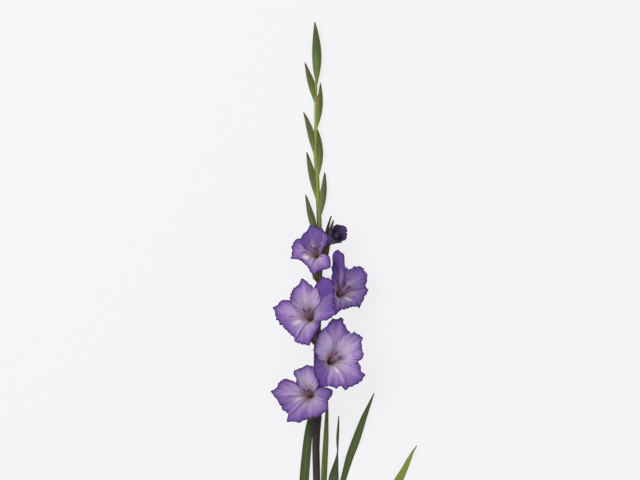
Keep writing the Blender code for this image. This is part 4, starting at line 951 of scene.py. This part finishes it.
def placeInBloom(plan, radius, angle, height):
    local = np.stack([radius * np.cos(angle), radius * np.sin(angle), height], axis=1)
    return np.array(plan["place"]) + local @ plan["turned"].T


def funnelPlace(plan, angle, share, lift=0.0):
    length = betweenTepals(angle, plan["directions"], plan["lengths"])
    opening = betweenTepals(angle, plan["directions"], plan["openings"])
    out, up, lean = opened(np.minimum(share, 1), opening)
    beyond = np.maximum(share - 1, 0)
    radius = bloomLook["floor"] + length * (out + beyond * np.sin(lean)) - lift * np.cos(lean)
    height = -bloomLook["sunk"] + length * (up + beyond * np.cos(lean)) + lift * np.sin(lean)
    return placeInBloom(plan, radius, angle, height)


def liftAt(plan, index, u, v):
    # how far a tepal stands off the funnel: the inner ones inwards, the outer ones outwards
    layer = bloomLook["layers"][index]
    stand = bloomLook["layerGap"] / 2 + bloomLook["layerRise"] * u
    stand = stand + bloomLook["flares"][layer] * np.abs(v) ** 3 * u**2
    return (2 * layer - 1) * stand + plan.get("raised", {}).get(index, 0) * np.minimum(2 * u, 1)


def rimOnFunnel(plan, index):
    # the turns and shares of the length at which a rim passes over its points of the plan
    middle, points = plan["rims"][index]
    points = np.array(points)
    reach = np.concatenate([[0], np.cumsum(np.linalg.norm(np.diff(points, axis=0), axis=1))])
    before, after = reach / reach[middle] - 1, (reach - reach[middle]) / (reach[-1] - reach[middle])
    places = np.where(reach < reach[middle], before, after)
    lift = liftAt(plan, index, 1.0, places)
    way = (points - plan["place"][:2]) @ plan["turned"][:2, :2]
    angle = np.unwrap(np.arctan2(way[:, 1], way[:, 0]))
    share = np.full(len(points), rimSearch["start"])
    step, eager = rimSearch["step"], rimSearch["eager"]
    for _ in range(rimSearch["rounds"]):
        here = funnelPlace(plan, angle, share, lift)[:, :2]
        byTurn = (funnelPlace(plan, angle + step, share, lift)[:, :2] - here) / step
        byShare = (funnelPlace(plan, angle, share + step, lift)[:, :2] - here) / step
        miss = points - here
        scale = byTurn[:, 0] * byShare[:, 1] - byTurn[:, 1] * byShare[:, 0]
        turnStep = (miss[:, 0] * byShare[:, 1] - miss[:, 1] * byShare[:, 0]) / scale
        shareStep = (byTurn[:, 0] * miss[:, 1] - byTurn[:, 1] * miss[:, 0]) / scale
        angle = angle + np.clip(eager * turnStep, -rimSearch["mostTurn"], rimSearch["mostTurn"])
        share = share + np.clip(eager * shareStep, -rimSearch["mostShare"], rimSearch["mostShare"])
        share = np.clip(share, *rimSearch["reach"])
    angle += 2 * math.pi * round((plan["directions"][index] - angle[middle]) / (2 * math.pi))
    return places, angle, share


def bloomWaves(number):
    # folds, teeth and ruffles of one bloom, drawn once from a fixed seed
    draw = random.Random(number)
    return {
        kind: [(turns, size, draw.uniform(0, 6.28), *rise) for turns, size, *rise in bloomLook[kind]]
        for kind in ("folds", "teeth", "ruffles")
    }


def bloomPlan(bloom, number):
    # an open bloom's settings with what is worked out from them
    turned = bloomFrame(bloom)
    openings = [most + extra for most, extra in zip(bloomLook["opens"], bloom["more"])]
    tips = [points[middle] for middle, points in bloom["rims"]]
    directions, lengths = zip(*(aimed(bloom, turned, *pair) for pair in zip(openings, tips)))
    feet = []
    for way in directions:
        turns = sorted((other - way) % (2 * math.pi) for other in directions if other != way)
        gaps = (2 * math.pi - turns[-1], turns[0])
        feet.append([min(gap * bloomLook["footShare"], math.radians(bloomLook["footMost"])) for gap in gaps])
    plan = dict(
        bloom, turned=turned, openings=openings, directions=directions, lengths=lengths, feet=feet,
        **bloomWaves(number),
    )
    plan["edges"] = [rimOnFunnel(plan, index) for index in tepals]
    return plan


def budPlan(bloom, number):
    # the half-open bud's tepals stand evenly, each with a rounded end
    v = np.linspace(-1, 1, 21)
    directions = [math.radians(way) for way in bloomLook["evenly"]]
    ends = 1 - bloom["shoulder"] * np.abs(v) ** bloom["roundness"]
    return dict(
        bloom, turned=bloomFrame(bloom), openings=[bloom["opening"]] * len(tepals), directions=directions,
        feet=[[math.radians(bloom["foot"])] * 2] * len(tepals), **bloomWaves(number),
        edges=[(v, way + math.radians(bloom["span"]) * v, ends) for way in directions],
    )


def tepalPlace(plan, index):
    # All six tepals lie on one waved funnel, the inner ones on its inner side.
    footBefore, footAfter = plan["feet"][index]
    rim = plan["edges"][index]
    often, uneven = bloomLook["unevenTeeth"]
    point, middle, outwards = bloomLook["toothShape"]

    def placeAt(u, v):
        foot = plan["directions"][index] + v * np.where(v < 0, footBefore, footAfter)
        rimAngle, rimShare = (
            tableAt(list(zip(rim[0], values)), v, bloomLook["rimBlur"]) for values in rim[1:]
        )
        angle, share = foot + (rimAngle - foot) * u, rimShare * u
        for turns, size, phase in plan["teeth"]:
            bent = turns * (angle + uneven * np.sin(often * angle + phase)) / 2 + phase
            tooth = (1 - np.abs(np.sin(bent))) ** point - middle
            share = share + plan["frill"] * size * tooth * u**outwards
        wave = -bloomLook["crease"] * np.exp(-((v / bloomLook["creaseWidth"]) ** 2)) * u
        for turns, size, phase, rise in plan["folds"]:
            wave += size * np.sin(turns * angle + phase + rise * share) * np.minimum(share, 1) ** 2
        frill = np.clip(bloomLook["ruffleSides"] * v**4 * u + u**6, 0, 1)
        for turns, size, phase in plan["ruffles"]:
            wave += size * np.sin(turns * angle + phase) * frill
        return funnelPlace(plan, angle, share, liftAt(plan, index, u, v) + wave)
    return placeAt


def bareMargin(plan, index):
    # 1 where a tepal reaches further out than the others at its turn, so that its margin is free
    places, angles, shares = plan["edges"][index]

    def barenessAt(u, v):
        angle, share = np.interp(v, places, angles), np.interp(v, places, shares)
        furthest = np.zeros_like(v)
        for other in set(tepals) - {index}:
            _, otherAngles, otherShares = plan["edges"][other]
            order = np.argsort(otherAngles)
            for turn in (-2 * math.pi, 0, 2 * math.pi):
                reach = np.interp(angle + turn, otherAngles[order], otherShares[order], left=0, right=0)
                furthest = np.maximum(furthest, reach)
        return smoothStep((share - furthest) / bloomLook["bareReach"] + bloomLook["bareFrom"])
    return barenessAt


def tubeStart(bloom):
    centre, radius = axisAt(np.array([float(bloom["base"])]))
    away = aroundStem(math.radians(bloom["side"]))
    return centre[0] + away * (radius[0] + bractLook["middle"]), away


def tubePlace(plan):
    # the outer wall up to the mouth, then back down inside it to the narrow throat
    look = tubeLook
    foot, away = tubeStart(plan)
    end = np.array(plan["place"], float)
    first = foot + unit(np.array([0, 1, 0]) + away * look["lean"]) * look["leaves"]
    corners = (foot, first, end - plan["turned"][:, 2] * look["arrives"], end)

    def placeAt(u, v):
        outside = np.clip(u / look["wall"], 0, 1)
        inside = np.clip((u - look["wall"]) / (1 - look["wall"]), 0, 1)
        share, turn = outside - look["throat"] * inside, -math.pi * v
        ahead = unit(bezierAt(corners, share + near) - bezierAt(corners, share - near))
        wall = tableAt(look["radii"], outside, look["blur"])
        radius = np.where(inside > 0, tableAt(look["mouth"], inside), wall)
        start, over = look["ribsFrom"]
        ribs = look["ribHeight"] * np.cos(look["ribs"] * turn) * smoothStep((outside - start) / over)
        return bezierAt(corners, share) + (radius * (1 + ribs))[:, None] * aroundLine(ahead, turn)
    return placeAt


# stamens and style at size 1: distance towards the upper tepal, spread and height
stamenLook = dict(
    filament=[(0.1, 0.5, -7), (0.6, 1.0, 2), (3.0, 2.3, 12.5), (5.2, 3.6, 18)],
    filamentRadii=[(0, 0.9), (0.35, 0.7), (1, 0.5)],
    anther=[(4.4, 3.4, 16), (6.0, 4.2, 20.5), (7.8, 4.6, 25)],
    antherRadii=[(0, 0.3), (0.08, 0.9), (0.3, 1.35), (0.7, 1.25), (0.93, 0.8), (1, 0.2)],
    antherGroove=0.35,
    style=[(0, 0, -8), (0.3, 0.1, 4), (2.4, 0.2, 16.5), (6.0, 0.3, 25.5)],
    styleRadii=[(0, 0.9), (0.3, 0.7), (1, 0.6)],
    stigma=[(5.7, 0.3, 25), (7.2, 1.9, 27), (9.2, 3.7, 28.6)],
    stigmaRadii=[(0, 0.5), (0.5, 0.6), (0.9, 1.0), (1, 0.5)],
    rows=16, columns=10,
)


def stalkPlace(plan, name, aside):
    # one filament, anther, style or branch of the stigma
    look = stamenLook
    turn, size = plan["stamens"]
    upper = plan["directions"][plan["hood"]] + math.radians(turn)
    right = np.array([-math.sin(upper), math.cos(upper), 0])
    points = np.array(look[name], float) * size
    points = [
        toward * np.array([math.cos(upper), math.sin(upper), 0]) + spread * aside * right + (0, 0, height)
        for toward, spread, height in points
    ]

    def lineAt(u):
        return np.array(plan["place"]) + splineAt(points, u) @ plan["turned"].T

    def placeAt(u, v):
        ahead = unit(lineAt(np.minimum(u + near, 1)) - lineAt(np.maximum(u - near, 0)))
        groove = look.get(name + "Groove", 0.0) * np.abs(np.cos(math.pi * v)) ** 6
        radius = tableAt(look[name + "Radii"], u) * (1 - groove)
        return lineAt(u) + radius[:, None] * aroundLine(ahead, -math.pi * v)
    return placeAt


def stamenParts(plan):
    stalks = [
        (name, aside, slot) for aside in (-1, 0, 1)
        for slot, name in enumerate(("filament", "anther", "stigma"))
    ]
    stalks.append(("style", 1, 2))
    return [partOf(stamenLook, stalkPlace(plan, name, aside), slot) for name, aside, slot in stalks]


# bracts, a pair round the foot of each tube: length, drift to the side, bend and twist of the tip,
# and how far the tip has dried
bractLook = dict(
    middle=4.1, foot=0.18, sink=5, turn=117, span=65, widest=(108, 104), step=0.4,
    pair=[(58, 0.14, 0.0, 0, 0.4), (50, 0.08, 0.0, 0, 0.4)], belly=1.6, taper=1.2,
    budPair=[(73, 0.17, 5.0, -30, 0.0), (80, 0.15, 2.8, -55, 2.0)], tipShare=0.78,
    narrowFoot=0.45, loosens=(0.1, 0.24), climb=0.05, fullTo=0.9,
    rows=44, columns=24, thickness=0.6, edgeShare=0.4, edgeReach=2.0,
)


def bractPlace(bloom, facing, length, widest, radius, drift, bend, twist):
    look = bractLook
    start, away = tubeStart(bloom)
    ahead = unit(np.array([drift, 1, look["climb"]]))

    def placeAt(u, v):
        risen = smoothStep(u / look["foot"])
        centre = start + ahead * ((u - look["foot"]) * length)[:, None]
        centre = centre - away * (look["sink"] * (1 - risen))[:, None]
        centre[:, 0] += bend * u**4
        loose = smoothStep((u - look["loosens"][0]) / look["loosens"][1])
        narrowed = 1 - look["tipShare"] * u**3
        span = np.radians(widest * (1 - loose) + look["span"] * loose * narrowed)
        reach = radius * (look["narrowFoot"] + (1 - look["narrowFoot"]) * risen)
        reach = reach + look["belly"] * np.sin(math.pi * np.minimum(u, look["fullTo"])) - look["taper"] * u
        turn = np.radians(facing + twist * u**2) + span * v
        return centre + reach[:, None] * aroundStem(turn)
    return placeAt


def bractParts(bloom, pair):
    look = bractLook
    way = -1 if bloom["side"] > 90 else 1
    leaving = np.array(bloom["place"]) - tubeStart(bloom)[0]
    facing = math.degrees(math.atan2(leaving[2], leaving[0]))
    parts = []
    for (length, drift, bend, twist, dried), side, widest, step in zip(
        pair, (-way, way), look["widest"], (look["step"], 0),
    ):
        placeAt = bractPlace(
            bloom, facing + look["turn"] * side, length * bloom["size"], widest,
            look["middle"] + step, drift * way, bend, twist,
        )
        parts.append(partOf(look, placeAt, dried=dried))
    return parts


def tepalParts(plan):
    parts = []
    for index in tepals:
        # the streak is the lip's, and the inner tepals have a faint one
        share, out, wide, side = plan["streak"]
        if index != tepals[-1]:
            share, out, wide, side = bloomLook["innerStreak"] * bloomLook["layers"][index], 0, 1, 0
        # depth carries each tepal's tone: partly its own colour, partly painted shade and painted light
        parts.append(partOf(
            bloomLook, tepalPlace(plan, index), kind=index, depth=plan["tonesAndShade"][index],
            hood=1.0 if index == plan["hood"] else bloomLook["hoodTones"][index],
            bare=bareMargin(plan, index), streakShare=share, streakOut=out, streakWide=wide,
            streakSide=side,
        ))
    return parts


bracts = []
for number, (node, bloom) in enumerate(bloomList.items(), 1):
    plan, name = bloomPlan(bloom, number), f"bloom{number}"
    skins = [petalFront, petalBack]
    addPiece(name + "Tepals", node, tepalParts(plan), skins, bloomLook, backSlot=1)
    addPiece(name + "Tube", node, [partOf(tubeLook, tubePlace(plan))], [tubeSkin])
    skins = [filamentSkin, pollenSac, stigmaSkin]
    addPiece(name + "Stamens", f"stamens_{number}", stamenParts(plan), skins)
    bracts += bractParts(bloom, bractLook["pair"])
    print("bloom", number, "made")


# the half-open bud: the same tepals, standing close round a rolled core

coreLook = dict(
    radii=[(0, 3.0), (0.2, 4.4), (0.4, 5.4), (0.6, 5.2), (0.8, 4.0), (1, 1.6)], height=21, rolls=2.2,
    tighter=(1.05, 0.62), uneven=0.10, waves=1.5, rows=30, columns=90,
)
openingPlan = budPlan(openingBud, len(bloomList) + 1)


def corePlace(u, v):
    rolled = (v + 1) / 2
    turn = 2 * math.pi * coreLook["rolls"] * rolled
    most, less = coreLook["tighter"]
    radius = tableAt(coreLook["radii"], u) * (most - less * rolled)
    uneven = 1 + coreLook["uneven"] * np.sin(coreLook["waves"] * turn)
    height = coreLook["height"] * u * uneven - bloomLook["sunk"]
    return placeInBloom(openingPlan, radius, turn, height)


budParts = [partOf(openingBud, tepalPlace(openingPlan, index), bare=1.0) for index in tepals]
budParts.append(partOf(coreLook, corePlace))
addPiece("openingBudTepals", "opening_bud", budParts, [budPetal], bloomLook)
budTube = partOf(tubeLook, tubePlace(openingPlan))
addPiece("openingBudTube", "opening_bud", [budTube], [budTubeSkin])
bracts += bractParts(openingBud, bractLook["budPair"])
addPiece("bracts", "stem", bracts, [bractGreen], bractLook)
print("half-open bud and bracts made")


# floor, lights and camera: lengths in millimetres, except the lights', which are in metres

studio = dict(
    shotWidth=896, centre=(4.2, 154), cameraHeight=12000, sensor=36, floorSize=16000,
    floorColour="#5c5c5e", floorGlow=0.785, worldGlow=0.72, aim=(0.0, 0.05, 0.0),
    lights={"keyLight": ((-1.3, 0.9, 2.0), 1.6, 36), "fillLight": ((1.6, -0.6, 2.2), 2.4, 7)},
)
scene = bpy.context.scene
floorShape = bmesh.new()
bmesh.ops.create_grid(floorShape, x_segments=1, y_segments=1, size=studio["floorSize"] / 2 * mm)
floorMesh = bpy.data.meshes.new("studioFloor")
floorShape.to_mesh(floorMesh)
floorShape.free()
floor = bpy.data.objects.new("studioFloor", floorMesh)
scene.collection.objects.link(floor)
# a light table of opal glass, so that shadows stay pale
opal, _ = startMaterial("opalGlass", {
    "Base Color": fromHex(studio["floorColour"]), "Roughness": 0.9, "Specular IOR Level": 0.0,
    "Emission Color": (1.0, 1.0, 1.02, 1.0), "Emission Strength": studio["floorGlow"],
})
floorMesh.materials.append(opal)

for name, (place, size, power) in studio["lights"].items():
    lamp = bpy.data.lights.new(name, "AREA")
    lamp.shape = "DISK"
    lamp.size = size
    lamp.energy = power
    holder = bpy.data.objects.new(name, lamp)
    holder.location = place
    way = np.array(studio["aim"]) - np.array(place)
    flat = math.hypot(way[0], way[1])
    holder.rotation_euler = (math.atan2(flat, -way[2]), 0, math.atan2(way[1], way[0]) - math.pi / 2)
    scene.collection.objects.link(holder)
scene.world = bpy.data.worlds.new("studioWorld")
scene.world.use_nodes = True
sky = scene.world.node_tree.nodes["Background"]
sky.inputs["Color"].default_value = (1, 1, 1, 1)
sky.inputs["Strength"].default_value = studio["worldGlow"]

lens = bpy.data.cameras.new("camera")
lens.sensor_width = studio["sensor"]
lens.lens = studio["sensor"] * studio["cameraHeight"] / studio["shotWidth"]
lens.clip_end = 50
camera = bpy.data.objects.new("camera", lens)
camera.location = [value * mm for value in (*studio["centre"], studio["cameraHeight"])]
scene.collection.objects.link(camera)
scene.camera = camera
scene.view_settings.view_transform = "Standard"
print("studio made")
